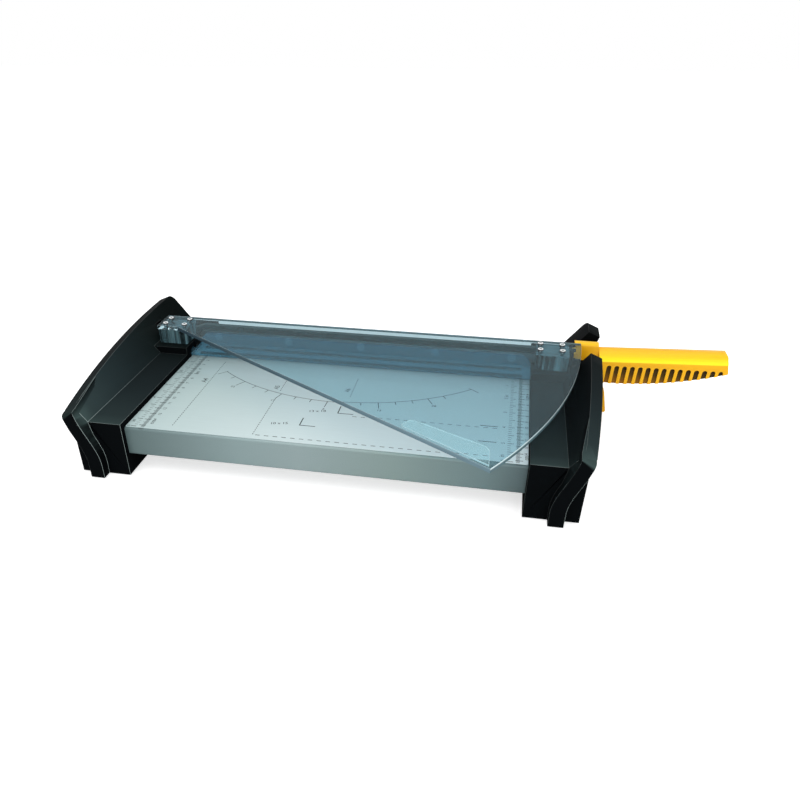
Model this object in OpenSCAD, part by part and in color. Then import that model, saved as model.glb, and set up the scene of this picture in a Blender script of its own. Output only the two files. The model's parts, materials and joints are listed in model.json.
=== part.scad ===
// Desk guillotine for A4 paper, assembled from separate pieces.
// Sizes are millimetres. Every module works in bed coordinates: X runs along the
// cut with 0 at the middle of the bed, Y = 0 is the zero line of the printed
// scales with the blade behind it, and Z = 0 is the printed face of the bed.
// seat() moves the finished pieces so that the feet stand on Z = 0.

/* [Bed] */
// width of the metal bed between the end caps
bed_w = 314.6; // [260:0.2:360]
// distance from the zero line to the front face of the bed
bed_front = 155.7; // [120:0.1:200]
// distance from the zero line to the back flange of the bed
bed_back = 14.8; // [12:0.1:20]
// height of the folded front face
bed_h = 24.8; // [16:0.2:40]
// height of the printed face above the table
bed_top = 43.0; // [34:0.5:60]
// thickness of the folded bed metal
tray_t = 1.2; // [0.8:0.1:2]
// thickness of the printed sheet on the bed
sheet_t = 0.4; // [0.3:0.1:1]
// thickness of the fixed lower blade
fixed_t = 3.0; // [2:0.1:4]
// height of the fixed lower blade
fixed_h = 21.0; // [14:0.5:24]

/* [End caps] */
// gap between the bed and each cap
cap_gap = 0.3; // [0.1:0.1:0.8]
// width of the level shelf of a cap
shelf_w = 26.8; // [20:0.2:36]
// height of the shelf above the bed
shelf_z = 4.3; // [2:0.1:8]
// height of the wing's ridge at its back
ridge_z = 30.5; // [24:0.5:40]
// radius of the long arc that the ridge follows
ridge_r = 1380; // [800:10:2500]
// flare of the wing's inner face, sideways per height
flare = 0.8; // [0.5:0.05:1.2]
// angle at which the wing's top falls outwards
fall_a = 22.8; // [10:0.2:35]
// distance from the shelf's outer edge to the wing's rim at the back
wing_reach = 30.8; // [24:0.2:40]
// wall thickness of the cap moulding
cap_t = 3.0; // [2:0.1:4]
// distance from the zero line to the front face of the cap's block
cap_front = 160.5; // [150:0.5:180]
// distance from the zero line to the back of the cap
cap_back = 64.5; // [50:0.5:90]
// thickness of the curved fin that ends in a foot
fin_t = 11.7; // [8:0.1:16]
// distance of the fin's foot from the cap's inner side
fin_in = 18.5; // [14:0.1:24]
// how far the fin leans outwards on its way up
fin_lean = 15.4; // [8:0.1:20]
// distance the fin stands in front of the block
fin_out = 8.5; // [4:0.5:14]
// height of the pedestal under the guard's hinge block
pedestal_h = 6.5; // [4:0.1:9]

/* [Arm] */
// distance of the pivot from the cap's inner side
pivot_in = 18.4; // [14:0.2:20]
// depth of the pivot below the printed face
pivot_drop = 2.0; // [0:0.5:5]
// radius of the pivot bolt
pivot_r = 4.0; // [3:0.1:5]
// radial play between the pivot bolt and its bush
pivot_play = 0.05; // [0.02:0.01:0.1]
// gap between the two blades
blade_gap = 0.3; // [0.1:0.05:0.4]
// thickness of the moving blade
blade_t = 2.5; // [1.5:0.1:4]
// thickness of the arm's steel bar
bar_t = 5.0; // [4:0.2:8]
// height of the top of the bar above the printed face
bar_top = 17.2; // [12:0.2:22]
// depth of the bottom of the bar below the printed face
bar_low = 5.5; // [2:0.5:10]
// highest angle of the raised arm
arm_open = 45; // [30:1:60]

/* [Handle] */
// length of the handle
handle_l = 112.1; // [80:0.1:140]
// radius of the handle's rounded top
grip_r = 13.9; // [11:0.1:18]
// half width of the handle at the crease below its top
grip_half = 12.5; // [10:0.1:16]
// radius of the handle's upper end corner
nose_r = 9.0; // [4:0.5:12]
// rise of the handle towards its end in degrees
grip_rise = 2.35; // [0:0.05:5]
// number of slots in each flank
slots = 15; // [8:1:20]
// distance between slots
slot_pitch = 6.62; // [5:0.02:9]
// width of each slot
slot_w = 3.9; // [2.5:0.1:5]
// depth of each slot at the handle's bottom
slot_d = 4.6; // [3:0.1:5]

/* [Guard] */
// thickness of the clear guard
guard_t = 3.5; // [2:0.1:5]
// height of the guard's underside above the printed face
guard_z = 24.0; // [20:0.5:30]
// radius of the guard's curved edge
guard_r = 431.3; // [350:0.5:500]
// distance of the guard's tip in front of the zero line
guard_tip = 210.4; // [180:0.2:240]
// width of each hinge block
block_w = 27.9; // [20:0.1:30]
// distance from the cap's inner side to the hinge block
block_gap = 2.0; // [1:0.1:4]
// distance of the hinge pins behind the zero line
hinge_y = 3.0; // [0:0.5:5]
// height of the hinge pins above the printed face
hinge_z = 20.5; // [19:0.1:22]
// radius of the hinge pins
hinge_r = 1.6; // [1.2:0.1:2]
// radial play of the hinge pins in the caps
hinge_play = 0.05; // [0.02:0.01:0.1]

/* [Clamp] */
// depth of the clamp's foot from its front edge to its wall
clamp_d = 27.0; // [20:0.5:30]
// height of the clamp's wall above the printed face
clamp_h = 11.2; // [8:0.1:12]
// how far paper can lift the clamp
clamp_lift = 2.5; // [1:0.1:3]
// radius of the clamp springs
spring_r = 2.4; // [1.8:0.1:3]
// radius of the spring wire
wire_r = 0.35; // [0.25:0.05:0.5]

/* [Lock] */
// travel of the arm lock
lock_travel = 8.0; // [6:0.5:8]
// radius of the lock's steel pin
lock_r = 2.8; // [2:0.1:3.5]
// play of the lock's pin in the arm
lock_play = 0.5; // [0.3:0.1:1]

/* [Hidden] */
$fn = 64;
eps = 0.01;
cap_x = bed_w / 2 + cap_gap;
wing_x = cap_x + shelf_w;
rim_x = wing_x + wing_reach;
pivot_x = cap_x + pivot_in;
block_x = cap_x + block_gap;
floor_z = -bed_top;
foot_lift = 0.4;
cap_low = floor_z + foot_lift + 0.6;
ridge_y = 58;
rim_y = 58.7;
rim_z = 25.5;
rim_lean = 18.6;
rim_r = 3086;
wall_r = 1760;
wall_in = 2.2;
fixed_y = bed_back;
cut_y = fixed_y + fixed_t + blade_gap;
bar_y = cut_y + blade_t;
slot_y = cut_y - 0.3;
slot_back = 31.6;
left_back = 28.0;
slot_z = -16;
pivot_z = -pivot_drop;
root_x = wing_x + 8.1;
grip_x = wing_x + 29;
handle_end = grip_x + handle_l;
grip_y = 24;
grip_c = 7.2;
grip_k = sqrt(grip_r * grip_r - grip_half * grip_half);
slot_x = grip_x + 11.2;
belly_x = grip_x + 11.6;
guard_end = block_x + block_w + 10.1;
guard_cx = guard_end - guard_r;
guard_cy = 21.8;
tip_x = guard_cx + sqrt(guard_r * guard_r - (guard_tip + guard_cy) * (guard_tip + guard_cy));
guard_back = 15.8;
block_y = 12.2;
block_low = 11.0;
block_back = 15.0;
foot_r = 6.5;
foot_x = cap_x + 13.4;
spring_turns = 3.4;
spring_x = cap_x + 5.6;
spring_y = -3.9;
tab_y0 = spring_y - 4.5;
tab_y1 = spring_y + 4.5;
ear_x = block_x + block_w + 0.3;
ear_t = 3.8;
ear_r = 3.2;
lock_x = wing_x + 16.6;
lock_y = 5.0;
lock_t = 2.6;
pedestal_back = hinge_y - 0.3;
tab_top = 3.0;
pad_x = bed_w / 2 - 7.3;
roof_z = shelf_z + pedestal_h - 1.8;
// the top of the wing falls outwards from its ridge and meets the leaning rim
// furthest out at the back; these give the height and the reach of that corner
ridge_c = (wing_x + flare * (ridge_z - shelf_z)) * sin(fall_a) + ridge_z * cos(fall_a);
hump_z = (ridge_c - (rim_x - rim_z * tan(rim_lean)) * sin(fall_a))
  / (cos(fall_a) + tan(rim_lean) * sin(fall_a));
hump_reach = rim_x + (hump_z - rim_z) * tan(rim_lean);
mid_x = (handle_end - hump_reach) / 2;
mid_y = (cap_back - guard_tip) / 2;

module seat() {
  translate([-mid_x, -mid_y, bed_top]) children();
}

// a bar of the given outline (X and Z) running along Y from y0 to y1
module along_y(y0, y1) {
  translate([0, y1, 0]) rotate([90, 0, 0]) linear_extrude(y1 - y0) children();
}

// a bar of the given outline (Y and Z) running along X from x0 to x1
module along_x(x0, x1) {
  translate([x0, 0, 0]) rotate([90, 0, 90]) linear_extrude(x1 - x0) children();
}

module box(x0, x1, y0, y1, z0, z1) {
  translate([x0, y0, z0]) cube([x1 - x0, y1 - y0, z1 - z0]);
}

module rod_y(x, z, y0, y1, r) {
  translate([x, y1, z]) rotate([90, 0, 0]) cylinder(r = r, h = y1 - y0);
}

// outline with rounded corners made of circles and two bands
module soft_rect(w, h, r) {
  translate([r, 0]) square([w - 2 * r, h]);
  translate([0, r]) square([w, h - 2 * r]);
  for (x = [r, w - r]) for (y = [r, h - r]) translate([x, y]) circle(r = r);
}

// Bed

module tray_outline(t) {
  z1 = -sheet_t;
  difference() {
    translate([-bed_front + t, -bed_h + t]) soft_rect(bed_front + bed_back - 2 * t, bed_h + z1 - 2 * t, 2.2 - t);
    translate([-bed_front + 14, -bed_h - 1]) square([bed_front + bed_back - 24, t + 1 + (t > 0 ? 0 : tray_t + 0.1)]);
  }
}

module tray_section() {
  difference() {
    tray_outline(0);
    translate([-bed_front + tray_t, -bed_h + tray_t])
      soft_rect(bed_front + bed_back - 2 * tray_t, bed_h - sheet_t - 2 * tray_t, 1.0);
  }
}

module bed_tray() {
  color([0.55, 0.6, 0.6]) seat() {
    difference() {
      along_x(-bed_w / 2, bed_w / 2) tray_section();
      for (x = blade_screw_x()) rod_y(x, -12, bed_back - 2, bed_back + 1, 2.1);
      for (s = [-1, 1]) for (y = cap_screw_y())
        translate([s * (bed_w / 2 - 7), y, -bed_h - 1]) cylinder(r = 2.2, h = 3);
    }
  }
}

function blade_screw_x() = [for (i = [-2.5 : 1 : 2.5]) i * bed_w * 0.1844];
function cap_screw_y() = [-bed_front + 20, bed_back - 6.5];

module bed_sheet() {
  color([0.75, 0.82, 0.82]) seat()
    translate([-bed_w / 2 + 0.4, -bed_front + 1.6, -sheet_t])
      linear_extrude(sheet_t) soft_rect(bed_w - 0.8, bed_front + bed_back - 3.2, 1.0);
}

// two hat rails welded under the bed
module bed_stiffeners() {
  z1 = -sheet_t - tray_t;
  color([0.5, 0.52, 0.53]) seat()
    for (y = [-108, -50]) along_x(-bed_w / 2 + 12, bed_w / 2 - 12) translate([y, z1]) difference() {
      union() {
        translate([-18, -1.2]) square([36, 1.2]);
        translate([-10, -14]) square([20, 14]);
      }
      translate([-8.8, -12.8]) square([17.6, 13.8]);
    }
}

module fixed_blade() {
  color([0.75, 0.77, 0.78]) seat() difference() {
    box(-bed_w / 2, bed_w / 2, fixed_y, fixed_y + fixed_t, -fixed_h, 0);
    for (x = blade_screw_x()) {
      rod_y(x, -12, fixed_y - 1, fixed_y + fixed_t + 1, 2.1);
      translate([x, fixed_y + fixed_t + eps, -12]) rotate([90, 0, 0])
        cylinder(r1 = 4.1, r2 = 2.1, h = 2.0);
    }
  }
}

module fixed_blade_screws() {
  color([0.6, 0.6, 0.62]) seat() for (x = blade_screw_x()) difference() {
    union() {
      rod_y(x, -12, fixed_y - 6, fixed_y + fixed_t - 0.2, 2.0);
      translate([x, fixed_y + fixed_t - 0.1, -12]) rotate([90, 0, 0])
        cylinder(r1 = 3.9, r2 = 2.0, h = 1.9);
      translate([x, fixed_y - tray_t, -12]) rotate([90, 0, 0])
        cylinder(r = 3.8, h = 3, $fn = 6);
    }
    translate([x - 3, fixed_y + fixed_t - 1.0, -12.5]) cube([6, 2, 1]);
  }
}

// End caps. The right cap is drawn, the left one is its mirror image.

module ridge(drop) {
  zp = ridge_c - drop;
  back = cap_back - drop;
  rotate([0, 90 + fall_a, 0]) linear_extrude(400) intersection() {
    translate([ridge_r - zp, ridge_y]) circle(r = ridge_r, $fn = 360);
    union() {
      translate([-zp, -200]) square([300, 200 + back - 7]);
      translate([-zp + 7, -200]) square([300, 200 + back]);
      translate([-zp + 7, back - 7]) circle(r = 7);
    }
  }
}

module rim_side(inset) {
  translate([rim_x - inset, 0, rim_z]) rotate([0, rim_lean, 0])
    translate([-rim_r, rim_y, -90]) rotate([0, 0, 180]) cylinder(r = rim_r, h = 110, $fn = 720);
}

module wall_side(inset) {
  translate([rim_x - wall_in - inset - wall_r, rim_y, floor_z - 10]) rotate([0, 0, 180])
    cylinder(r = wall_r, h = 90, $fn = 720);
}

module cap_profile(t) {
  polygon([
    [cap_x + t, cap_low - (t > 0 ? 5 : 0)],
    [cap_x + t, shelf_z - t],
    [wing_x + t * 0.35, shelf_z - t],
    [wing_x + t * 1.35 + flare * 40, shelf_z + 40],
    [260, shelf_z + 40],
    [260, cap_low - (t > 0 ? 5 : 0)]]);
}

module cap_skin(t) {
  intersection() {
    along_y(-cap_front + t, cap_back - t) cap_profile(t);
    ridge(t);
    union() {
      rim_side(t);
      wall_side(t);
    }
    box(cap_x - 20, 240, -cap_front + (t > 0 ? t : 0), 100, floor_z - 8, 60);
  }
}

// the fin leans outwards in an S on its way up from the foot to the nose
function fin_step(z) = min(1, max(0, (z + 30) / 50));
function fin_x(z) = cap_x + fin_in + fin_lean * (3 - 2 * fin_step(z)) * pow(fin_step(z), 2);

module fin() {
  front = -cap_front - fin_out;
  z = [for (k = [0 : 40]) cap_low + k * (24 - cap_low) / 40];
  intersection() {
    along_y(front, -cap_front + 3) polygon(concat(
      [for (k = [0 : 40]) [fin_x(z[k]), z[k]]],
      [for (k = [40 : -1 : 0]) [fin_x(z[k]) + fin_t, z[k]]]));
    ridge(0);
    union() {
      rim_side(0);
      wall_side(0);
    }
  }
}

module pedestal(t) {
  intersection() {
    along_x(cap_x + t, wing_x + 14) polygon([
      [-21 + t, shelf_z - 2 - t], [-21 + t, shelf_z + pedestal_h - t * 0.6],
      [pedestal_back - t, shelf_z + pedestal_h - t * 0.6], [pedestal_back - t, shelf_z - 2 - t]]);
    box(cap_x, wing_x + 20, -60, 60, 0, 40);
  }
}

// bearing lug of the guard's hinge pin
module ear() {
  along_x(ear_x, ear_x + ear_t) union() {
    translate([hinge_y, hinge_z]) circle(r = ear_r);
    polygon([[hinge_y - ear_r - 3, shelf_z - 1], [hinge_y - ear_r, hinge_z],
      [hinge_y + ear_r, hinge_z], [hinge_y + ear_r, shelf_z - 1]]);
  }
}

// room for the back edge of the guard when it stands upright
module guard_scoop() {
  along_x(block_x - 1, guard_end + 0.6) intersection() {
    translate([hinge_y, hinge_z]) circle(r = guard_back - hinge_y + 2.1);
    translate([hinge_y + ear_r + 0.1, 0]) square([30, 40]);
  }
}

module foot_boss(y) {
  translate([foot_x, y, floor_z + 0.9]) cylinder(r = foot_r + 2, h = bed_top + shelf_z - 2);
}

function foot_y() = [-cap_front + 17, cap_back - 14];

// everything the two caps share, before the arm's slot is cut
module cap_shell(mid_back, mid_end) {
  difference() {
    union() {
      cap_skin(0);
      fin();
      pedestal(0);
      // ledge that carries the bed
      box(cap_x - 13, cap_x + 1, -cap_front + 17, 11.5, -bed_h - 4.0, -bed_h - 0.1);
      ear();
    }
    difference() {
      cap_skin(cap_t);
      box(cap_x - 8, rim_x + 20, -12, mid_end, -60, 60);
      for (y = [-cap_front * 0.68, -cap_front * 0.37]) box(cap_x - 8, rim_x + 20, y, y + 2, -60, 60);
      for (y = foot_y()) foot_boss(y);
    }
    // pocket for the clamp's end tab and its spring
    box(cap_x + cap_t - 1, cap_x + 15, tab_y0 - 1, tab_y1 + 0.9, -8, roof_z);
    box(cap_x - 1, cap_x + cap_t, tab_y0 - 0.8, tab_y1 + 0.8, -0.2, tab_top + clamp_lift + 0.6);
    // chambers in front of the slot and behind it
    box(cap_x + cap_t, wing_x + 1, 7.8, mid_back, -60, shelf_z - cap_t);
    // bearing hole of the guard
    translate([ear_x - 1, hinge_y, hinge_z]) rotate([0, 90, 0])
      cylinder(r = hinge_r + hinge_play, h = ear_t + 2);
    guard_scoop();
    for (y = foot_y()) translate([foot_x, y, floor_z - 1])
      cylinder(r = foot_r + 0.1, h = 4.5 + foot_lift);
    for (y = cap_screw_y()) translate([cap_x - 7 - cap_gap, y, -bed_h - 6])
      cylinder(r = 2.2, h = 8);
  }
}

module left_cap() {
  color([0.05, 0.06, 0.06]) seat() mirror([1, 0, 0]) difference() {
    cap_shell(12.2, 36);
    // slot in which the arm's end turns
    box(cap_x - 1, pivot_x + 14.5, slot_y, left_back, slot_z, 60);
    rod_y(pivot_x, pivot_z, 0, 60, pivot_r + 0.05);
    // room for the bolt head and the nut
    box(pivot_x - 8, pivot_x + 8, 7.8, 12.2, -20, shelf_z - 0.9);
    box(pivot_x - 8, pivot_x + 8, 33.2, 40, -20, shelf_z - 0.9);
  }
}

module right_cap() {
  color([0.05, 0.06, 0.06]) seat() difference() {
    cap_shell(13.6, 38);
    // slot for the blade, the bar and the root of the handle
    box(cap_x - 1, 240, slot_y, slot_back, slot_z, 60);
    // wide notch through the wing
    along_x(ear_x + ear_t, rim_x + 25) polygon([
      [-9.5, 60], [-9.5, 13], [-7.5, 11], [33.5, 11], [36.2, 13], [36.2, 60]]);
    // chamber and window of the lock
    box(lock_x - 7, lock_x + 7, lock_y - 0.3, lock_y + lock_t + lock_travel + 0.3, -60, 8);
    box(lock_x - 1.6, rim_x + 25, lock_y - 0.3, lock_y + 8.7 + lock_travel + 0.3, -31.2, -21.8);
    rod_y(lock_x, 2, 14, slot_y + 1, lock_r + 0.15);
  }
}

module cap_screws() {
  color([0.6, 0.6, 0.62]) seat() for (s = [-1, 1]) for (y = cap_screw_y())
    translate([s * (bed_w / 2 - 7), y, 0]) difference() {
      union() {
        translate([0, 0, -bed_h - 6.4]) cylinder(r1 = 3.2, r2 = 4.0, h = 2.4 - 0.02);
        translate([0, 0, -bed_h - 4.1]) cylinder(r = 2.0, h = 7.0);
        translate([0, 0, -bed_h + tray_t + 0.02]) cylinder(r = 3.6, h = 2.6, $fn = 6);
      }
      for (a = [0, 90]) rotate([0, 0, a]) translate([-2.2, -0.45, -bed_h - 6.5]) cube([4.4, 0.9, 1.3]);
    }
}

module rubber_feet() {
  color([0.08, 0.08, 0.08]) seat() for (s = [-1, 1]) for (y = foot_y())
    translate([s * foot_x, y, floor_z]) difference() {
      union() {
        cylinder(r = foot_r, h = 3.5 + foot_lift - 0.4);
      }
      translate([0, 0, -1]) cylinder(r = foot_r - 2.5, h = 1.6);
    }
}

// Pivot

module pivot_bolt() {
  color([0.6, 0.62, 0.64]) seat() difference() {
    union() {
      rod_y(-pivot_x, pivot_z, 8.4, 39.5, pivot_r);
      rod_y(-pivot_x, pivot_z, 8.4, 12.15, 5.0);
    }
    translate([-pivot_x, 10.4, pivot_z]) rotate([90, 0, 0]) cylinder(r = 2.4, h = 3, $fn = 6);
  }
}

module pivot_nut() {
  color([0.66, 0.67, 0.68]) seat() translate([-pivot_x, 0, pivot_z]) rotate([90, 0, 0]) {
    translate([0, 0, -38.2]) difference() {
      cylinder(r = 5.9, h = 4.9, $fn = 6);
      translate([0, 0, -1]) cylinder(r = pivot_r, h = 8);
    }
  }
}

module pivot_bush() {
  color([0.72, 0.55, 0.25]) seat() difference() {
    rod_y(-pivot_x, pivot_z, bar_y, bar_y + bar_t, 6.0);
    rod_y(-pivot_x, pivot_z, bar_y - 1, bar_y + bar_t + 1, pivot_r + pivot_play);
  }
}

module pivot_washers() {
  color([0.7, 0.7, 0.68]) seat() {
    difference() {
      rod_y(-pivot_x, pivot_z, slot_y + 0.3, bar_y, 9.0);
      rod_y(-pivot_x, pivot_z, slot_y, bar_y + 1, pivot_r + 0.1);
    }
    difference() {
      rod_y(-pivot_x, pivot_z, bar_y + bar_t, left_back - 0.3, 9.0);
      rod_y(-pivot_x, pivot_z, bar_y + bar_t - 1, left_back, pivot_r + 0.1);
    }
  }
}

// Arm

module bar_outline() {
  polygon([[-pivot_x - 3, pivot_z + 11], [-pivot_x + 22, bar_top], [root_x + 4, bar_top],
        [root_x + 12, 13], [grip_x + 86.6, 14.6], [grip_x + 88.6, 8], [grip_x + 56.6, 2.4], [root_x + 24, -1.5],
        [root_x + 8, -bar_low], [-pivot_x + 16, -bar_low], [-pivot_x - 3, pivot_z - 11]]);
}

function moving_screw_x() = [for (i = [-2 : 2]) i * bed_w * 0.2225];
function handle_screw_x() = [grip_x + 26.15, grip_x + 72.5];
function grip_screw_z(x) = 8.2 + (x - handle_screw_x()[0]) * 0.045;

module arm_bar() {
  y0 = bar_y - 1;
  y1 = bar_y + bar_t + 1;
  color([0.16, 0.18, 0.19]) seat() difference() {
    union() {
      along_y(bar_y, bar_y + bar_t) bar_outline();
      rod_y(-pivot_x, pivot_z, bar_y, bar_y + bar_t, 12);
    }
    rod_y(-pivot_x, pivot_z, y0, y1, 6.0);
    rod_y(lock_x, 2, y0, y1, lock_r + lock_play);
    for (x = moving_screw_x()) rod_y(x, 7, y0, y1, 2.1);
    for (x = handle_screw_x()) rod_y(x, grip_screw_z(x), y0, y1, 2.1);
  }
}

// the strip leans a little, so that its edge closes from the pivot outwards
module moving_blade() {
  color([0.5, 0.53, 0.55]) seat() difference() {
    intersection() {
      translate([0, 0, -9]) rotate([0, 1.0, 0]) along_x(-bed_w / 2 - 12.7, bed_w / 2 + 14.7) translate([cut_y, 0]) polygon([
        [0, 0], [blade_t, 6], [blade_t, 40], [0, 40]]);
      along_y(cut_y - 1, cut_y + blade_t + 1) polygon([
        [-bed_w / 2 - 1.7, -20], [-bed_w / 2 - 1.7, 9], [-bed_w / 2 + 1.3, 12.6],
        [bed_w / 2 + 4.7, 12.6], [bed_w / 2 + 8.7, 8.6], [bed_w / 2 + 8.7, -20]]);
    }
    for (x = moving_screw_x()) {
      rod_y(x, 7, cut_y - 1, bar_y + 1, 2.1);
      translate([x, cut_y - eps, 7]) rotate([-90, 0, 0]) cylinder(r1 = 4.0, r2 = 2.1, h = 1.9);
    }
  }
}

module moving_blade_screws() {
  color([0.62, 0.62, 0.64]) seat() for (x = moving_screw_x()) difference() {
    union() {
      translate([x, cut_y + 0.1, 7]) rotate([-90, 0, 0]) cylinder(r1 = 3.8, r2 = 2.0, h = 1.8);
      rod_y(x, 7, cut_y + 0.2, bar_y + bar_t, 2.0);
      rod_y(x, 7, bar_y + bar_t, bar_y + bar_t + 1.6, 3.8);
    }
    translate([x - 3, cut_y - 1, 6.5]) cube([6, 1.9, 1]);
  }
}

// Handle

module root_outline() {
  polygon([[root_x, 26.4], [grip_x - 0.1, 26.4], [grip_x + 5.2, -9], [root_x + 1, -9], [root_x + 3.0, 11], [root_x - 3.5, 12.2], [root_x - 3.5, 14.4], [root_x + 2.8, 16.2]]);
}

module root_section() {
  difference() {
    polygon(concat([[cut_y, -12]],
      [for (a = [0 : 15 : 90]) [cut_y + 3 - 3 * cos(a), 23.4 + 3 * sin(a)]],
      [[cut_y + 6, 26.4], [cut_y + 12.6, 21], [cut_y + 12.6, -12]]));
    translate([cut_y + blade_t, -20]) square([bar_t, 20 + bar_top]);
  }
}

module handle_root() {
  color([1.0, 0.76, 0.05]) seat() difference() {
    intersection() {
      along_y(cut_y - 1, 40) root_outline();
      along_x(root_x - 5, grip_x + 5) root_section();
    }
    rod_y(lock_x, 2, cut_y - 1, 40, lock_r + lock_play);
  }
}

module grip_section() {
  crease = grip_c + grip_k;
  difference() {
    polygon([
      [grip_y - grip_half, crease], [grip_y - grip_half - 1, 60], [grip_y + grip_half + 1, 60],
      [grip_y + grip_half, crease], [grip_y + 9.6, -20], [grip_y - 9.6, -20]]);
    difference() {
      translate([grip_y - 40, crease - 0.5]) square([80, 60]);
      translate([grip_y, grip_c]) circle(r = grip_r, $fn = 120);
    }
  }
}

// side view of the grip: a long arc below, a leaning end with a round upper corner
module grip_side() {
  difference() {
    intersection() {
      translate([belly_x, -7.2 + 300]) circle(r = 300, $fn = 720);
      union() {
        translate([grip_x, -12]) square([handle_end - grip_x - 20, 60]);
        polygon([[grip_x, -12], [handle_end - 2.8, -12], [handle_end - 0.6, 6],
          [handle_end - 2.0, 26.5 - nose_r], [handle_end - 2.0 - nose_r, 26.5], [grip_x, 26.5]]);
        translate([handle_end - 1.95 - nose_r, 26.3 - nose_r]) circle(r = nose_r);
        translate([handle_end - 3.5, 3]) circle(r = 3.3);
      }
    }
    polygon([[grip_x - 20, 40], [grip_x - 1.95, 40], [grip_x + 7.05, -20], [grip_x - 20, -20]]);
  }
}

module grip_solid() {
  intersection() {
    translate([grip_x + 2.6, 0, 0]) rotate([0, -grip_rise, 0]) translate([-grip_x - 2.6, 0, 0])
      along_x(grip_x - 13, grip_x + 132) grip_section();
    along_y(-10, 60) grip_side();
    linear_extrude(120, center = true) union() {
      translate([grip_x - 33, 0]) square([handle_end - grip_x + 33 - 4, 60]);
      translate([grip_x, grip_y - grip_half + 4]) square([handle_end - grip_x, 2 * grip_half - 8]);
      for (s = [-1, 1]) translate([handle_end - 4, grip_y + s * (grip_half - 4)]) circle(r = 4);
    }
  }
}

// a comb of slots in each flank, open below; their backs lean outwards to the bottom
module slot_set() {
  for (i = [0 : slots - 1]) {
    x = slot_x + i * slot_pitch;
    z = 10.2 + i * 0.11 - slot_w / 2;
    for (s = [-1, 1]) intersection() {
      along_y(grip_y - 30, grip_y + 30) union() {
        translate([x, z]) circle(r = slot_w / 2);
        translate([x - slot_w / 2, z - 30]) square([slot_w, 30]);
      }
      along_x(x - 5, x + 5) translate([grip_y, 0]) polygon([
        [s * 30, -30], [s * 30, 30], [s * (grip_half - slot_d - 0.9), 30], [s * (grip_half - slot_d - 0.9), 8],
        [s * (10.4 - slot_d + 1.6), -6], [s * (10.4 - slot_d + 1.6), -30]]);
    }
  }
}

module handle_shell() {
  color([1.0, 0.76, 0.05]) seat() difference() {
    grip_solid();
    slot_set();
    for (x = handle_screw_x()) {
      rod_y(x, grip_screw_z(x), 15, 45, 2.1);
      rod_y(x, grip_screw_z(x), 32.5, 50, 4.0);
    }
    // slot for the steel bar, open below
    box(100, grip_x + 90, bar_y - 0.05, bar_y + bar_t + 0.05, -60, 15.4);
  }
}

module handle_screws() {
  color([0.62, 0.62, 0.64]) seat() for (x = handle_screw_x()) difference() {
    union() {
      rod_y(x, grip_screw_z(x), 15.5, 32.5, 2.05);
      rod_y(x, grip_screw_z(x), 32.5, 34.6, 3.8);
    }
    for (a = [0, 90]) translate([x, 34.7, grip_screw_z(x)]) rotate([0, a, 0])
      translate([-2.4, -1.3, -0.45]) cube([4.8, 2, 0.9]);
  }
}

// Guard

module guard_outline() {
  intersection() {
    translate([guard_cx, guard_cy]) circle(r = guard_r, $fn = 720);
    polygon([[-block_x - block_w, guard_back], [-block_x - block_w, -block_y],
      [-block_x - 8.2, -block_y], [tip_x, -guard_tip], [guard_end + 60, -guard_tip], [guard_end + 60, guard_back]]);
  }
}

module guard_sheet() {
  color([0.6, 0.85, 0.95, 0.5]) seat() difference() {
    intersection() {
      translate([0, 0, guard_z]) linear_extrude(guard_t) guard_outline();
      // rounded back edge
      along_x(-300, 300) union() {
        translate([-260, guard_z - 1]) square([260 + guard_back - 1.2, guard_t + 2]);
        translate([0, guard_z - 1]) square([guard_back, guard_t - 0.2]);
        translate([guard_back - 1.2, guard_z + guard_t - 1.2]) circle(r = 1.2);
      }
    }
    for (s = [-1, 1]) for (p = guard_screw_at())
      translate([s * p[0], p[1], guard_z - 1]) cylinder(r = 1.6, h = guard_t + 2);
  }
}

function guard_screw_at() = [for (x = [block_x + 3, block_x + block_w - 6.3]) for (y = [-6.7, 6.6]) [x, y]];

// raised finger strip beside the tip
module guard_grip() {
  color([0.6, 0.85, 0.95, 0.5]) seat() translate([0, 0, guard_z + guard_t]) linear_extrude(1.4)
    intersection() {
      guard_outline();
      translate([tip_x - 1, -guard_tip]) polygon([[-65.1, 58], [-51.8, 55.9], [-3.4, 30.1],
        [-1.1, 28], [0, 25], [0, 1.8], [-54.1, 38.9], [-55.5, 46.1]]);
    }
}

module guard_block() {
  difference() {
    union() {
      intersection() {
        translate([block_x, -block_y, block_low]) linear_extrude(guard_z - block_low)
          soft_rect(block_w, block_y + block_back, 2);
        along_x(block_x - 1, block_x + block_w + 1) union() {
          translate([-30, 0]) square([30 + hinge_y, 40]);
          translate([-30, hinge_z]) square([60, 40]);
          translate([hinge_y, hinge_z]) circle(r = hinge_z - block_low - 0.2);
        }
      }
      // upright ribs on the front
      for (i = [0 : 6]) translate([block_x + 3.2 + i * 3.6, -block_y, block_low + 0.6])
        cylinder(r = 0.9, h = guard_z - block_low - 1.2);
    }
    translate([block_x - 1, hinge_y, hinge_z]) rotate([0, 90, 0])
      cylinder(r = hinge_r, h = block_w + 2);
    for (p = guard_screw_at()) translate([p[0], p[1], block_low + 2])
      cylinder(r = 1.5, h = 40);
  }
}

module guard_block_left() {
  color([0.35, 0.5, 0.52, 0.7]) seat() mirror([1, 0, 0]) guard_block();
}

module guard_block_right() {
  color([0.35, 0.5, 0.52, 0.7]) seat() guard_block();
}

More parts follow.
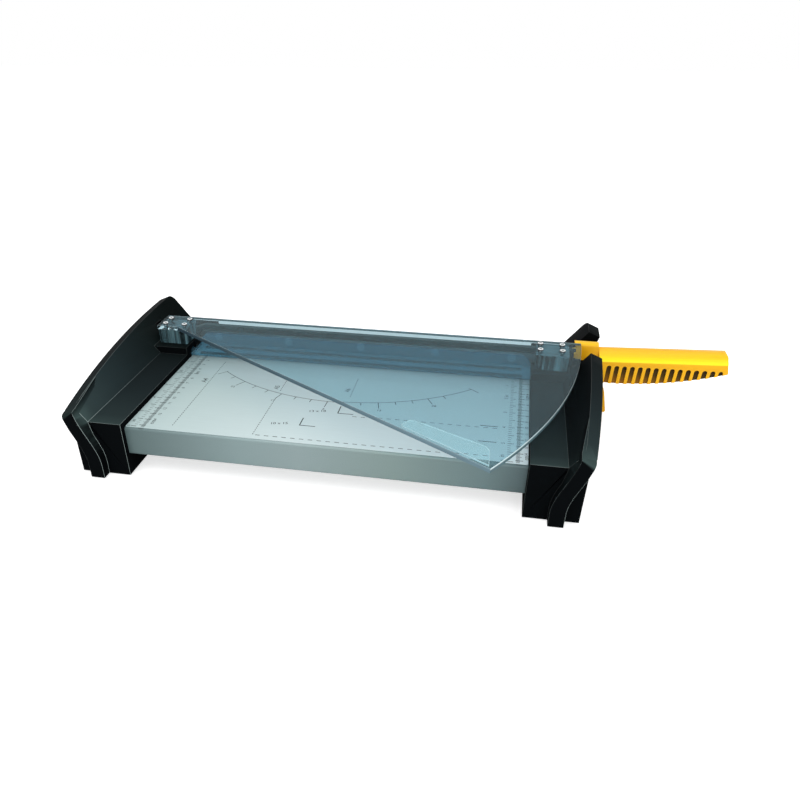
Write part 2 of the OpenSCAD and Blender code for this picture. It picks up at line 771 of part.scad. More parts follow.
module guard_screws() {
  color([0.85, 0.86, 0.88]) seat() for (s = [-1, 1]) for (p = guard_screw_at())
    translate([s * p[0], p[1], guard_z + guard_t]) difference() {
      union() {
        cylinder(r1 = 2.8, r2 = 2.2, h = 1.4);
        translate([0, 0, -guard_t - 9]) cylinder(r = 1.5, h = guard_t + 9.2);
      }
      for (a = [45, 135]) rotate([0, 0, a]) translate([-1.6, -0.3, 0.5]) cube([3.2, 0.6, 2]);
    }
}

module guard_pins() {
  color([0.7, 0.72, 0.74]) seat() for (s = [-1, 1]) mirror([s > 0 ? 0 : 1, 0, 0])
    translate([block_x + 4, hinge_y, hinge_z]) rotate([0, 90, 0])
      cylinder(r = hinge_r, h = ear_x + ear_t - block_x - 4);
}

// Clamp

module clamp_rail() {
  y0 = 15 - clamp_d;
  color([0.55, 0.78, 0.9, 0.6]) seat() difference() {
    union() {
      along_x(-bed_w / 2, bed_w / 2) union() {
        translate([y0 + 1, 0.5]) square([clamp_d - 1 + 1.5, tab_top - 0.5]);
        translate([y0 + 1, 1.5]) circle(r = 1.0);
        translate([y0, 1.5]) square([2, tab_top - 2.5]);
        translate([y0 + 1, tab_top - 1]) circle(r = 1.0);
      }
      along_y(15, 16.5) union() {
        translate([-bed_w / 2 + 10, 0.5]) square([bed_w - 20, clamp_h - 0.5]);
        translate([-bed_w / 2, 0.5]) square([bed_w, clamp_h - 10.5]);
        for (s = [-1, 1]) translate([s * (bed_w / 2 - 10), clamp_h - 10]) circle(r = 10);
      }
      // end tabs that slide in the caps
      for (s = [-1, 1]) mirror([s > 0 ? 0 : 1, 0, 0])
        box(bed_w / 2 - 1, spring_x + 4, tab_y0, tab_y1, 0.5, tab_top);
    }
    for (y = [-9, 5]) box(-pad_x, pad_x, y, y + 5, 0, 1.2);
    box(-400, 400, -60, 60, -20, 0.5);
  }
}

module clamp_pads() {
  color([0.25, 0.3, 0.32]) seat() for (y = [-9, 5]) box(-pad_x + 0.2, pad_x - 0.2, y + 0.1, y + 4.9, 0.02, 1.2);
}

// one coil with flat-lying ends between the tab and the roof of the pocket
spring_z0 = tab_top + 0.05 + wire_r;
spring_z1 = roof_z - 0.05 - wire_r;
spring_n = 8;
spring_steps = 3 * 8;
function spring_at(i) = [
  spring_x + spring_r * cos(360 * spring_turns * i / spring_steps),
  spring_y + spring_r * sin(360 * spring_turns * i / spring_steps),
  spring_z0 + (spring_z1 - spring_z0) * i / spring_steps];
spring_gap = (spring_z1 - spring_z0) / spring_turns - 2 * wire_r;
echo(spring_gap_mm = spring_gap);

module spring_coil() {
  n = ceil(spring_turns * spring_n);
  sides = 6;
  pitch = spring_z1 - spring_z0;
  slope = atan(pitch / (360 * spring_turns * 3.14159265 / 180 * spring_r));
  pts = [for (i = [0 : n]) let (a = 360 * spring_turns * i / n, z = spring_z0 + pitch * i / n)
    for (k = [0 : sides - 1]) let (b = 360 * k / sides,
      u = wire_r * cos(b), v = wire_r * sin(b))
      [spring_x + (spring_r + u) * cos(a) + v * sin(slope) * sin(a),
       spring_y + (spring_r + u) * sin(a) - v * sin(slope) * cos(a),
       z + v * cos(slope)]];
  walls = [for (i = [0 : n - 1]) for (k = [0 : sides - 1]) let (m = (k + 1) % sides)
    [i * sides + k, i * sides + m, (i + 1) * sides + m, (i + 1) * sides + k]];
  start = [for (k = [0 : sides - 1]) sides - 1 - k];
  finish = [for (k = [0 : sides - 1]) n * sides + k];
  polyhedron(points = pts, faces = concat(walls, [start], [finish]));
}

module clamp_springs() {
  color([0.7, 0.72, 0.74]) seat() for (s = [-1, 1]) mirror([s > 0 ? 0 : 1, 0, 0]) spring_coil();
}

// Lock

module lock_slider() {
  wall = rim_x - 1.6;
  color([1.0, 0.76, 0.05]) seat() difference() {
    union() {
      // riser inside the cap
      box(lock_x - 4.5, lock_x + 5.5, lock_y, lock_y + lock_t, -29.6, 6);
      // stem through the window
      box(lock_x - 1, wall + 1, lock_y, lock_y + 8.7, -29.6, -23.4);
      // thumb tab outside the wall, wider at its lower end
      along_y(lock_y + 2.7, lock_y + 9.7) polygon([[wall, -11], [wall + 9.6, -11],
        [wall + 10.6, -13], [wall + 14.8, -31.6], [wall + 13.8, -33], [wall, -33]]);
    }
    rod_y(lock_x, 2, lock_y - 1, lock_y + lock_t + 1, lock_r);
  }
}

module lock_pin() {
  color([0.62, 0.64, 0.66]) seat() rod_y(lock_x, 2, lock_y, slot_y - 0.2, lock_r);
}

bed_tray();
bed_sheet();
bed_stiffeners();
fixed_blade();
fixed_blade_screws();
left_cap();
right_cap();
cap_screws();
rubber_feet();
pivot_bolt();
pivot_nut();
pivot_bush();
pivot_washers();
arm_bar();
moving_blade();
moving_blade_screws();
handle_root();
handle_shell();
handle_screws();
guard_sheet();
guard_grip();
guard_block_left();
guard_block_right();
guard_screws();
guard_pins();
clamp_rail();
clamp_pads();
clamp_springs();
lock_slider();
lock_pin();
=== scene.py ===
"""Looks for a desk guillotine paper cutter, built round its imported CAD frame."""

import json
import math

import bmesh
import bpy
from mathutils import Matrix, Vector

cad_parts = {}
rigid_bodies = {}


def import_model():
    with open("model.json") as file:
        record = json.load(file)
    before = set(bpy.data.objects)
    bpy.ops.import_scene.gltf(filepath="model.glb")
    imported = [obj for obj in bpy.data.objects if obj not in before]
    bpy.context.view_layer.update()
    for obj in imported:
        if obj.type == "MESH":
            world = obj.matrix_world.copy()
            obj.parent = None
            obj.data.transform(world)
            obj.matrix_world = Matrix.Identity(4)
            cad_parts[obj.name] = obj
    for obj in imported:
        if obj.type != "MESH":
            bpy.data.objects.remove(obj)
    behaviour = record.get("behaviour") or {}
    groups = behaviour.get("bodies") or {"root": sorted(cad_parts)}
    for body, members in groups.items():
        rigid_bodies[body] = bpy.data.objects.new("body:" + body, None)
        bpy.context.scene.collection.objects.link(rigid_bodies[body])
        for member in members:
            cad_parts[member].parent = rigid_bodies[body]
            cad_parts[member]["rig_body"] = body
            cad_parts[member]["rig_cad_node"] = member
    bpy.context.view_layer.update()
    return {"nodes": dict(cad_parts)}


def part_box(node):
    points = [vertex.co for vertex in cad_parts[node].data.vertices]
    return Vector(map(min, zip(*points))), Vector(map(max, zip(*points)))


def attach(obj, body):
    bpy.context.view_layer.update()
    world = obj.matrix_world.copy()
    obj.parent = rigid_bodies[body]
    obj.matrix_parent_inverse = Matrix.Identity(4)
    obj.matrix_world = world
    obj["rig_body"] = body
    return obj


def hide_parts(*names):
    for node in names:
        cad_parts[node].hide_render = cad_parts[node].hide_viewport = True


bl_info = {
    "name": "Paper cutter",
    "version": (1, 0, 0),
    "blender": (4, 5, 0),
    "location": "3D View > Sidebar > Paper cutter",
    "description": "Finishes, printed scales and softened edges of a desk guillotine",
    "category": "Object",
}

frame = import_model()

# The bed's own directions: X along the cut from the bed's middle, Y from the zero
# line of the scales towards the blade, Z up from the printed face, in millimetres.
sheet_low, sheet_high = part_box("bed_sheet")
BED_MIDDLE = (sheet_low.x + sheet_high.x) / 2
SHEET_FRONT = 0.1541  # from the sheet's front edge back to the zero line, in metres
BED_ZERO = sheet_low.y + SHEET_FRONT
BED_FACE = sheet_high.z
INCH = 25.4
GUARD_LOW, GUARD_HIGH = 24.0, 27.5  # the guard's faces above the printed face


def bed(x, y, z=0.0):
    """A place in the bed's millimetres, as metres in the frame."""
    return Vector((BED_MIDDLE + x / 1000, BED_ZERO + y / 1000, BED_FACE + z / 1000))


def from_frame(place):
    """The bed's millimetres of a place in the frame."""
    return ((place.x - BED_MIDDLE) * 1000, (place.y - BED_ZERO) * 1000, (place.z - BED_FACE) * 1000)


# Where the finishes of the bed and of the caps begin and end, in the frame's metres.
BED_LEFT, BED_RIGHT = bed(-157, 0).x, bed(157, 0).x
CAP_BACK, CAP_FRONT = bed(0, 40).y, bed(0, -172).y


# Materials


def grey(level):
    return (level, level, level)


def scaled(color, factor):
    """A color made darker or lighter, no channel above 1."""
    return tuple(min(1.0, c * factor) for c in color)


def math_node(tree, operation, first, second):
    """A math node on two sockets or plain numbers."""
    node = tree.nodes.new("ShaderNodeMath")
    node.operation = operation
    for socket, value in zip(node.inputs, (first, second)):
        if isinstance(value, float):
            socket.default_value = value
        else:
            tree.links.new(value, socket)
    return node.outputs[0]


class Finish:
    """A node material that is built up step by step."""

    def __init__(self, name):
        self.material = bpy.data.materials.new(name)
        self.material.use_nodes = True
        self.tree = self.material.node_tree
        self.shader = self.tree.nodes["Principled BSDF"]
        self.coords = self.add("ShaderNodeTexCoord")

    def add(self, kind, **values):
        node = self.tree.nodes.new(kind)
        for key, value in values.items():
            setattr(node, key, value)
        return node

    def link(self, out, into):
        self.tree.links.new(out, into)

    def set(self, **values):
        for key, value in values.items():
            self.shader.inputs[key.replace("_", " ")].default_value = value
        return self

    def noise(self, scale, detail=3.0, stretch=(1, 1, 1)):
        mapping = self.add("ShaderNodeMapping")
        mapping.inputs["Scale"].default_value = stretch
        self.link(self.coords.outputs["Object"], mapping.inputs["Vector"])
        noise = self.add("ShaderNodeTexNoise")
        noise.inputs["Scale"].default_value = scale
        noise.inputs["Detail"].default_value = detail
        self.link(mapping.outputs["Vector"], noise.inputs["Vector"])
        return noise.outputs["Fac"]

    def ramp(self, factor, stops):
        ramp = self.add("ShaderNodeValToRGB")
        elements = ramp.color_ramp.elements
        while len(elements) < len(stops):
            elements.new(0.5)
        for element, (place, color) in zip(elements, stops):
            element.position = place
            element.color = (*color, 1.0)
        self.link(factor, ramp.inputs["Fac"])
        return ramp.outputs["Color"]

    def spread(self, factor, low, high):
        remap = self.add("ShaderNodeMapRange")
        remap.inputs["To Min"].default_value = low
        remap.inputs["To Max"].default_value = high
        self.link(factor, remap.inputs["Value"])
        return remap.outputs["Result"]

    def part_of(self, output, axis, start, end):
        """0 to 1 as one axis of a coordinate output runs from start to end."""
        split = self.add("ShaderNodeSeparateXYZ")
        self.link(self.coords.outputs[output], split.inputs["Vector"])
        remap = self.add("ShaderNodeMapRange")
        remap.inputs["From Min"].default_value = start
        remap.inputs["From Max"].default_value = end
        self.link(split.outputs[axis], remap.inputs["Value"])
        return remap.outputs["Result"]

    def along(self, axis, start, end):
        """0 to 1 along one axis of the frame, in metres."""
        return self.part_of("Object", axis, start, end)

    def facing(self, axis, start, end):
        """0 to 1 by how far the surface faces along one axis of the piece."""
        return self.part_of("Normal", axis, start, end)

    def mix(self, factor, first, second, blend="MIX"):
        node = self.add("ShaderNodeMix", data_type="RGBA", blend_type=blend)
        if isinstance(factor, float):
            node.inputs["Factor"].default_value = factor
        else:
            self.link(factor, node.inputs["Factor"])
        for socket, value in ((node.inputs[6], first), (node.inputs[7], second)):
            if isinstance(value, tuple):
                socket.default_value = (*value, 1.0)
            else:
                self.link(value, socket)
        return node.outputs[2]

    def times(self, first, second):
        """One color multiplied by another."""
        return self.mix(1.0, first, second, "MULTIPLY")

    def color(self, out):
        self.link(out, self.shader.inputs["Base Color"])
        return self

    def rough(self, out):
        self.link(out, self.shader.inputs["Roughness"])
        return self

    def bump(self, height, strength, distance):
        bump = self.add("ShaderNodeBump")
        bump.inputs["Strength"].default_value = strength
        bump.inputs["Distance"].default_value = distance
        self.link(height, bump.inputs["Height"])
        self.link(bump.outputs["Normal"], self.shader.inputs["Normal"])
        return self

    def lit_through(self, tint):
        """Lets the lamps' light pass, so that a clear piece doesn't shade like a solid one."""
        out = self.tree.nodes["Material Output"]
        path = self.add("ShaderNodeLightPath")
        clear = self.add("ShaderNodeBsdfTransparent")
        clear.inputs["Color"].default_value = (*tint, 1.0)
        mix = self.add("ShaderNodeMixShader")
        self.link(path.outputs["Is Shadow Ray"], mix.inputs["Fac"])
        self.link(self.shader.outputs["BSDF"], mix.inputs[1])
        self.link(clear.outputs["BSDF"], mix.inputs[2])
        self.link(mix.outputs["Shader"], out.inputs["Surface"])
        return self


def satin_black():
    """Near-black moulded plastic with a fine spark-eroded grain, and painted light: paler towards
    the front, lighter on faces turned up and to the right, darker low down.
    """
    f = Finish("satin_black_plastic")
    f.set(Roughness=0.45, IOR=1.46, Specular_IOR_Level=0.006)
    # Painted light: the plastic is painted paler towards the front.
    painted_front_light = f.ramp(f.along("Y", CAP_BACK, CAP_FRONT), [
        (0.0, (0.0030, 0.0050, 0.0050)), (0.25, (0.0075, 0.0120, 0.0120)),
        (0.50, (0.014, 0.022, 0.024)), (0.68, (0.022, 0.035, 0.038)),
        (0.88, (0.036, 0.056, 0.058)), (1.0, (0.075, 0.120, 0.115))])
    # Painted light: faces turned up, faces turned to the right and faces high up are painted
    # lighter, as if lit from above and from the right.
    up = f.ramp(f.facing("Z", 0.0, 1.0), [(0.15, grey(0)), (0.35, grey(0.4)), (0.6, grey(1))])
    side = f.ramp(f.facing("X", -1.0, 1.0), [
        (0.11, grey(0.1)), (0.31, grey(0.2)), (0.5, grey(0.5)), (0.69, grey(0.6)), (0.88, grey(1))])
    low = f.ramp(f.along("Z", bed(0, 0, -24).z, bed(0, 0, 3).z), [
        (0.0, grey(0)), (0.6, grey(0.3)), (1.0, grey(1))])
    painted_light_mask = f.times(f.times(up, side), low)
    painted_light_tone = f.mix(painted_light_mask, (0.0026, 0.0034, 0.0040), painted_front_light)
    flow = f.ramp(f.noise(9, 4), [(0.3, grey(0.86)), (0.7, grey(1.0))])
    f.color(f.times(painted_light_tone, flow))
    f.rough(f.spread(f.noise(60, 2), 0.40, 0.52))
    f.bump(f.noise(1600, 2), 0.04, 0.00004)
    return f.material


def worn_edge():
    """The same plastic on its rounded edges, painted as a highlight: brighter towards the front and
    on edges turned to the right.
    """
    f = Finish("black_edge_painted_highlight")
    f.set(Roughness=0.35, Specular_IOR_Level=0.05)
    # Painted highlight: brighter towards the front and on edges turned to the right.
    painted_glint = f.ramp(f.along("Y", CAP_BACK, CAP_FRONT), [
        (0.0, (0.010, 0.012, 0.012)), (0.35, (0.035, 0.046, 0.046)), (0.5, (0.08, 0.10, 0.10)),
        (0.75, (0.15, 0.19, 0.19)), (0.97, (0.26, 0.32, 0.31))])
    side = f.ramp(f.facing("X", -1.0, 1.0), [
        (0.25, grey(0.06)), (0.5, grey(0.45)), (0.75, grey(1))])
    f.color(f.times(painted_glint, side))
    f.rough(f.spread(f.noise(90, 2), 0.26, 0.4))
    return f.material


def silver_paint():
    """Stoved silver-grey paint on folded steel, with painted light: darker at both ends of the bed
    and brightest a little left of its middle.
    """
    f = Finish("silver_stoved_paint")
    f.set(Metallic=0.2, Roughness=0.42, Specular_IOR_Level=0.3)
    # Painted light along the bed: darker at both ends, brightest a little left of the middle.
    base = f.ramp(f.along("X", BED_LEFT, BED_RIGHT), [
        (0.0, (0.10, 0.150, 0.152)), (0.30, (0.23, 0.31, 0.315)), (0.45, (0.26, 0.335, 0.34)),
        (0.68, (0.21, 0.285, 0.275)), (0.90, (0.135, 0.20, 0.205)), (1.0, (0.07, 0.105, 0.11))])
    flake = f.ramp(f.noise(2200, 1), [(0.35, grey(0.90)), (0.7, grey(1))])
    f.color(f.times(base, flake))
    f.rough(f.spread(f.noise(45, 3), 0.36, 0.48))
    f.bump(f.noise(900, 2), 0.06, 0.00005)
    return f.material


def printed_film():
    """Pale silver film with a fine brushed grain under the print, and painted light: a soft painted
    highlight across the bed, paler near the front, and painted shade darkening towards the rail.
    """
    f = Finish("printed_silver_film")
    f.set(Metallic=0.1, Roughness=0.45, Specular_IOR_Level=0.25)
    # Painted light across the bed: a soft painted highlight a little left of the middle, darker at
    # the left end.
    across = f.ramp(f.along("X", BED_LEFT, BED_RIGHT), [
        (0.0, (0.40, 0.52, 0.52)), (0.12, (0.46, 0.58, 0.58)),
        (0.42, (0.55, 0.66, 0.67)), (1.0, (0.52, 0.63, 0.65))])
    # Painted shade: the film is painted darker towards the rail at the back, and paler than its
    # colour near the front.
    back = f.ramp(f.along("Y", bed(0, -155).y, bed(0, 14).y), [
        (0.0, (1.12, 1.10, 1.10)), (0.45, grey(0.98)), (0.66, (0.88, 0.89, 0.90)),
        (0.77, (0.72, 0.74, 0.75)), (0.85, (0.50, 0.53, 0.54)), (1.0, (0.34, 0.37, 0.38))])
    grain = f.ramp(f.noise(700, 2, (0.05, 1, 1)), [(0.3, grey(0.97)), (0.7, grey(1.0))])
    f.color(f.times(f.times(across, back), grain))
    f.rough(f.spread(f.noise(30, 3), 0.38, 0.52))
    return f.material


def print_ink():
    """Dark blue-grey printing ink."""
    f = Finish("printing_ink")
    f.set(Roughness=0.5)
    f.color(f.ramp(f.noise(120, 3), [(0.3, (0.006, 0.012, 0.014)), (0.75, (0.018, 0.030, 0.032))]))
    f.rough(f.spread(f.noise(80, 2), 0.42, 0.6))
    return f.material


def warm_yellow(name, painted_light_stops):
    """Glossy yellow plastic with painted light by how each face turns; the grip's is painted
    brightest as a highlight where its side rolls into the top.
    """
    f = Finish(name)
    f.set(Roughness=0.32, IOR=1.49, Specular_IOR_Level=0.22)
    f.shader.inputs["Subsurface Weight"].default_value = 0.05
    f.shader.inputs["Subsurface Radius"].default_value = (0.004, 0.002, 0.0005)
    # Painted light: the colour follows how far each face turns up.
    painted_roll_light = f.ramp(f.facing("Z", -0.25, 1.0), painted_light_stops)
    cloud = f.ramp(f.noise(14, 3), [(0.3, (0.95, 0.94, 0.92)), (0.7, grey(1.0))])
    f.color(f.times(painted_roll_light, cloud))
    f.rough(f.spread(f.noise(50, 3), 0.28, 0.40))
    f.bump(f.noise(1500, 2), 0.05, 0.00005)
    return f.material


def slot_brown():
    """Painted shade in the grip's slots: the plastic painted dark brown, darkest high up and warmer
    lower down towards the open end.
    """
    f = Finish("slot_plastic_painted_shade")
    f.set(Roughness=0.6, Specular_IOR_Level=0.1)
    depth = f.along("Z", bed(0, 0, 11).z, bed(0, 0, -7).z)
    f.color(f.ramp(depth, [
        (0.0, (0.020, 0.012, 0.004)), (0.45, (0.075, 0.042, 0.008)), (1.0, (0.30, 0.13, 0.012))]))
    f.rough(f.spread(f.noise(80, 3), 0.5, 0.7))
    return f.material


def clear_blue(name, base, haze, tint, rough=0.03):
    """Clear tinted plastic: a little haze from handling, wiped smears in its gloss."""
    f = Finish(name)
    f.set(Roughness=rough, IOR=1.06, Transmission_Weight=1.0 - haze)
    f.color(f.ramp(f.noise(7, 3), [(0.3, scaled(base, 0.97)), (0.7, base)]))
    f.rough(f.spread(f.noise(22, 4), rough * 0.6, rough * 1.8))
    return f.lit_through(tint).material


def ribbed_smoke(base):
    """Smoked clear plastic with painted light: standing stripes of painted highlight and shade
    stand for its moulded ribbing, faces turned up are painted lighter, and the left block is
    painted darker towards its outer end.
    """
    f = Finish("smoked_block_plastic")
    f.set(Roughness=0.1, IOR=1.3, Transmission_Weight=0.5)
    # Painted light: stripes of painted highlight and shade, faces turned up painted lighter, and
    # painted shade towards the left block's outer end.
    painted_rib_mask = f.noise(260, 1, (1, 0.6, 0.05))
    painted_rib_light = f.ramp(painted_rib_mask, [(0.38, scaled(base, 0.12)), (0.5, base), (0.62, scaled(base, 2.1))])
    whole = f.mix(f.facing("Z", 0.3, 0.8), painted_rib_light, scaled(base, 1.2))
    painted_shade_outwards = f.ramp(f.along("X", bed(-188, 0).x, bed(-162, 0).x), [
        (0.0, grey(0.2)), (0.4, grey(0.45)), (0.9, grey(1))])
    f.color(f.times(whole, painted_shade_outwards))
    f.rough(f.spread(f.noise(22, 4), 0.06, 0.16))
    return f.lit_through((0.5, 0.6, 0.62)).material


def cut_edge(name, base, deep, far=(1.0, 1.0, 1.0)):
    """Sawn and flamed edge of the clear sheet, painted as a highlight near the upper face and as
    shade lower down, and painted darker towards its left end where far is darker than white.
    """
    f = Finish(name)
    f.set(Roughness=0.2, Specular_IOR_Level=0.3, Transmission_Weight=0.1, IOR=1.28)
    low, high = bed(0, 0, GUARD_LOW).z, bed(0, 0, GUARD_HIGH).z
    # Painted light: the edge is painted bright near the upper face and dark lower down.
    height = f.ramp(f.along("Z", low, high), [(0.55, deep), (0.85, base)])
    halfway = tuple((c + 1) / 2 for c in far)
    length = f.ramp(f.along("X", bed(-170, 0).x, bed(70, 0).x), [
        (0.0, far), (0.6, halfway), (1.0, grey(1))])
    worn = f.ramp(f.noise(60, 3), [(0.3, grey(0.9)), (0.7, grey(1))])
    f.color(f.times(f.times(height, length), worn))
    f.rough(f.spread(f.noise(300, 2), 0.12, 0.3))
    return f.material


def ground_steel(name, low, high, grain=(0.03, 1, 1)):
    """Ground steel with its scratches along the piece."""
    f = Finish(name)
    f.set(Metallic=1.0, Roughness=0.3)
    f.color(f.ramp(f.noise(900, 3, grain), [(0.3, low), (0.7, high)]))
    f.rough(f.spread(f.noise(400, 3, grain), 0.24, 0.4))
    f.bump(f.noise(1400, 2, grain), 0.08, 0.00004)
    return f.material


def dark_steel():
    """Blackened screws."""
    f = Finish("blackened_steel")
    f.set(Metallic=0.8, Roughness=0.5)
    f.color(f.ramp(f.noise(300, 3), [(0.3, (0.020, 0.018, 0.016)), (0.7, (0.040, 0.037, 0.034))]))
    f.rough(f.spread(f.noise(200, 2), 0.4, 0.6))
    return f.material


def cross_slot_steel():
    """Zinc-plated screw heads; painted shade darkens the cross slots towards their bottoms."""
    f = Finish("cross_slot_steel")
    f.set(Metallic=0.3, Roughness=0.32)
    # Painted shade: darker the lower down in the cross slots.
    deep = f.along("Z", bed(0, 0, 28.25).z, bed(0, 0, 28.75).z)
    f.color(f.ramp(deep, [
        (0.0, (0.015, 0.02, 0.022)), (0.6, (0.10, 0.12, 0.125)), (1.0, (0.90, 0.94, 0.95))]))
    f.rough(f.spread(f.noise(500, 2), 0.25, 0.4))
    return f.material


def dark_arm():
    """Dark grey lacquer on the arm's bar."""
    f = Finish("dark_arm_lacquer")
    f.set(Roughness=0.45, Metallic=0.1, Specular_IOR_Level=0.08)
    f.color(f.ramp(f.noise(16, 4), [(0.3, (0.010, 0.028, 0.032)), (0.7, (0.018, 0.042, 0.044))]))
    f.rough(f.spread(f.noise(70, 3), 0.38, 0.55))
    f.bump(f.noise(1100, 2), 0.08, 0.00005)
    return f.material


def soft_rubber():
    """Matt rubber."""
    f = Finish("matt_rubber")
    f.set(Roughness=0.8)
    f.color(f.ramp(f.noise(40, 4), [(0.3, grey(0.018)), (0.7, (0.032, 0.032, 0.031))]))
    f.rough(f.spread(f.noise(90, 3), 0.7, 0.9))
    f.bump(f.noise(900, 3), 0.2, 0.0001)
    return f.material


def bronze_bush():
    """Sintered bronze."""
    f = Finish("sintered_bronze")
    f.set(Metallic=1.0, Roughness=0.5)
    f.color(f.ramp(f.noise(1500, 2), [(0.3, (0.42, 0.28, 0.12)), (0.7, (0.60, 0.42, 0.20))]))
    f.rough(f.spread(f.noise(600, 2), 0.4, 0.6))
    return f.material


# Modelling tools


FLAT_ANGLE = math.radians(0.4)  # faces nearer than this to one plane are merged
SMOOTH_ANGLE = math.radians(35)


def nothing_selected():
    """Everything is let go first, because an operator acts on all that is selected."""
    if bpy.context.mode != "OBJECT":
        bpy.ops.object.mode_set(mode="OBJECT")
    bpy.ops.object.select_all(action="DESELECT")


def only(piece):
    """Selects one piece and makes it the active one."""
    nothing_selected()
    piece.select_set(True)
    bpy.context.view_layer.objects.active = piece
    return piece


def applied(piece):
    """Puts a piece's place, turn and scale into its mesh."""
    only(piece)
    bpy.ops.object.transform_apply(location=True, rotation=True, scale=True)
    return piece


def finish_of(node):
    """The finish that a CAD node wears."""
    return frame["nodes"][node].material_slots[0].material


def settle(piece, name, material, body):
    """Names a piece, puts its place in its mesh and lets it ride on a body."""
    applied(piece)
    piece.name = name
    piece.data.name = name
    if material:
        dress(piece, material)
    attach(piece, body)
    return piece


def modify(piece, kind, **values):
    """Adds a modifier to a piece and applies it at once."""
    only(piece)
    modifier = piece.modifiers.new(kind.lower(), kind)
    for key, value in values.items():
        setattr(modifier, key, value)
    bpy.ops.object.modifier_apply(modifier=modifier.name)


def merged_copy(node):
    """A copy of a CAD node with its loose triangles made into whole faces."""
    source = frame["nodes"][node]
    only(source)
    bpy.ops.object.duplicate()
    piece = bpy.context.view_layer.objects.active
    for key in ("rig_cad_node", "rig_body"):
        if key in piece:
            del piece[key]
    piece.parent = None
    bpy.ops.object.mode_set(mode="EDIT")
    bpy.ops.mesh.select_all(action="SELECT")
    bpy.ops.mesh.remove_doubles(threshold=0.00001)
    bpy.ops.mesh.dissolve_limited(angle_limit=FLAT_ANGLE)
    bpy.ops.object.mode_set(mode="OBJECT")
    return piece


def soften(piece, width, segments=2, limit=30.0, edge_slot=-1, clamp=True):
    """Rounds the sharp edges of a piece; edge_slot gives the new faces their own finish."""
    only(piece)
    bpy.ops.object.shade_smooth_by_angle(angle=SMOOTH_ANGLE)
    modify(piece, "BEVEL", width=width / 1000, segments=segments, limit_method="ANGLE",
           material=edge_slot, angle_limit=math.radians(limit), use_clamp_overlap=clamp,
           miter_outer="MITER_ARC", harden_normals=True)
    return piece


def pick(piece, kind, test):
    """Edit mode with only those edges or faces selected that the test takes; returns how many."""
    only(piece)
    bpy.ops.object.mode_set(mode="EDIT")
    bpy.ops.mesh.select_mode(type=kind)
    bpy.ops.mesh.select_all(action="DESELECT")
    mesh = bmesh.from_edit_mesh(piece.data)
    items = {"EDGE": mesh.edges, "FACE": mesh.faces}[kind]
    found = 0
    for item in items:
        if test(item):
            item.select_set(True)
            found += 1
    mesh.select_flush_mode()
    bmesh.update_edit_mesh(piece.data)
    return found


def reshape(piece, move):
    """Moves corners one by one, in the bed's millimetres."""
    for corner in piece.data.vertices:
        x, y, z = from_frame(corner.co)
        corner.co = bed(*move(x, y, z))


def dress(piece, *materials):
    """Gives a piece its finishes, first the one for all its faces."""
    piece.data.materials.clear()
    for material in materials:
        piece.data.materials.append(material)


def paint(piece, index, test, missing):
    """Gives the faces that the test takes another one of the piece's finishes."""
    if not pick(piece, "FACE", test):
        raise RuntimeError(missing)
    piece.active_material_index = index
    bpy.ops.object.material_slot_assign()
    bpy.ops.object.mode_set(mode="OBJECT")


def join(pieces):
    """Makes one piece of several."""
    nothing_selected()
    for piece in pieces:
        piece.select_set(True)
    bpy.context.view_layer.objects.active = pieces[0]
    bpy.ops.object.join()
    return bpy.context.view_layer.objects.active


# Printed marks

PRINT_Z = 0.03  # height of the ink above the film
TEXT_SIZE = 1.38  # font size over the height of its figures
BOLDER = 0.00003  # added round each figure, in metres
ARC_STEPS = 72


def bar_mark(x, y, length, width, angle=0.0):
    """A flat printed bar centred on a place of the bed, turned about it."""
    nothing_selected()
    bpy.ops.mesh.primitive_plane_add(size=1.0)
    mark = bpy.context.view_layer.objects.active
    mark.scale = (length / 1000, width / 1000, 1)
    mark.rotation_euler = (0, 0, math.radians(angle))
    mark.location = bed(x, y, PRINT_Z)
    return applied(mark)


def repeated(mark, count, dx, dy):
    """Repeats a mark in a row, each the given step from the one before."""
    modify(mark, "ARRAY", count=count, use_relative_offset=False, use_constant_offset=True,
           constant_offset_displace=(dx / 1000, dy / 1000, 0))
    return mark


def line_mark(x0, y0, x1, y1, width):
    """A printed line from one place to another."""
    length = math.hypot(x1 - x0, y1 - y0)
    angle = math.degrees(math.atan2(y1 - y0, x1 - x0))
    return bar_mark((x0 + x1) / 2, (y0 + y1) / 2, length, width, angle)


def dashes(x0, y0, x1, y1, dash, gap, width):
    """A dashed line from one place to another."""
    length = math.hypot(x1 - x0, y1 - y0)
    count = max(1, int(length / (dash + gap)))
    ux, uy = (x1 - x0) / length, (y1 - y0) / length
    angle = math.degrees(math.atan2(uy, ux))
    first = bar_mark(x0 + ux * dash / 2, y0 + uy * dash / 2, dash, width, angle)
    return repeated(first, count, ux * (dash + gap), uy * (dash + gap))


def words(text, x, y, height, angle):
    """A printed figure lying on the bed, as a mesh."""
    nothing_selected()
    bpy.ops.object.text_add()
    label = bpy.context.view_layer.objects.active
    label.data.body = text
    label.data.size = height / 1000 * TEXT_SIZE
    label.data.align_x = "CENTER"
    label.data.align_y = "CENTER"
    label.data.resolution_u = 3
    label.data.offset = BOLDER
    label.rotation_euler = (0, 0, math.radians(angle))
    label.location = bed(x, y, PRINT_Z)
    only(label)
    bpy.ops.object.convert(target="MESH")
    return applied(bpy.context.view_layer.objects.active)


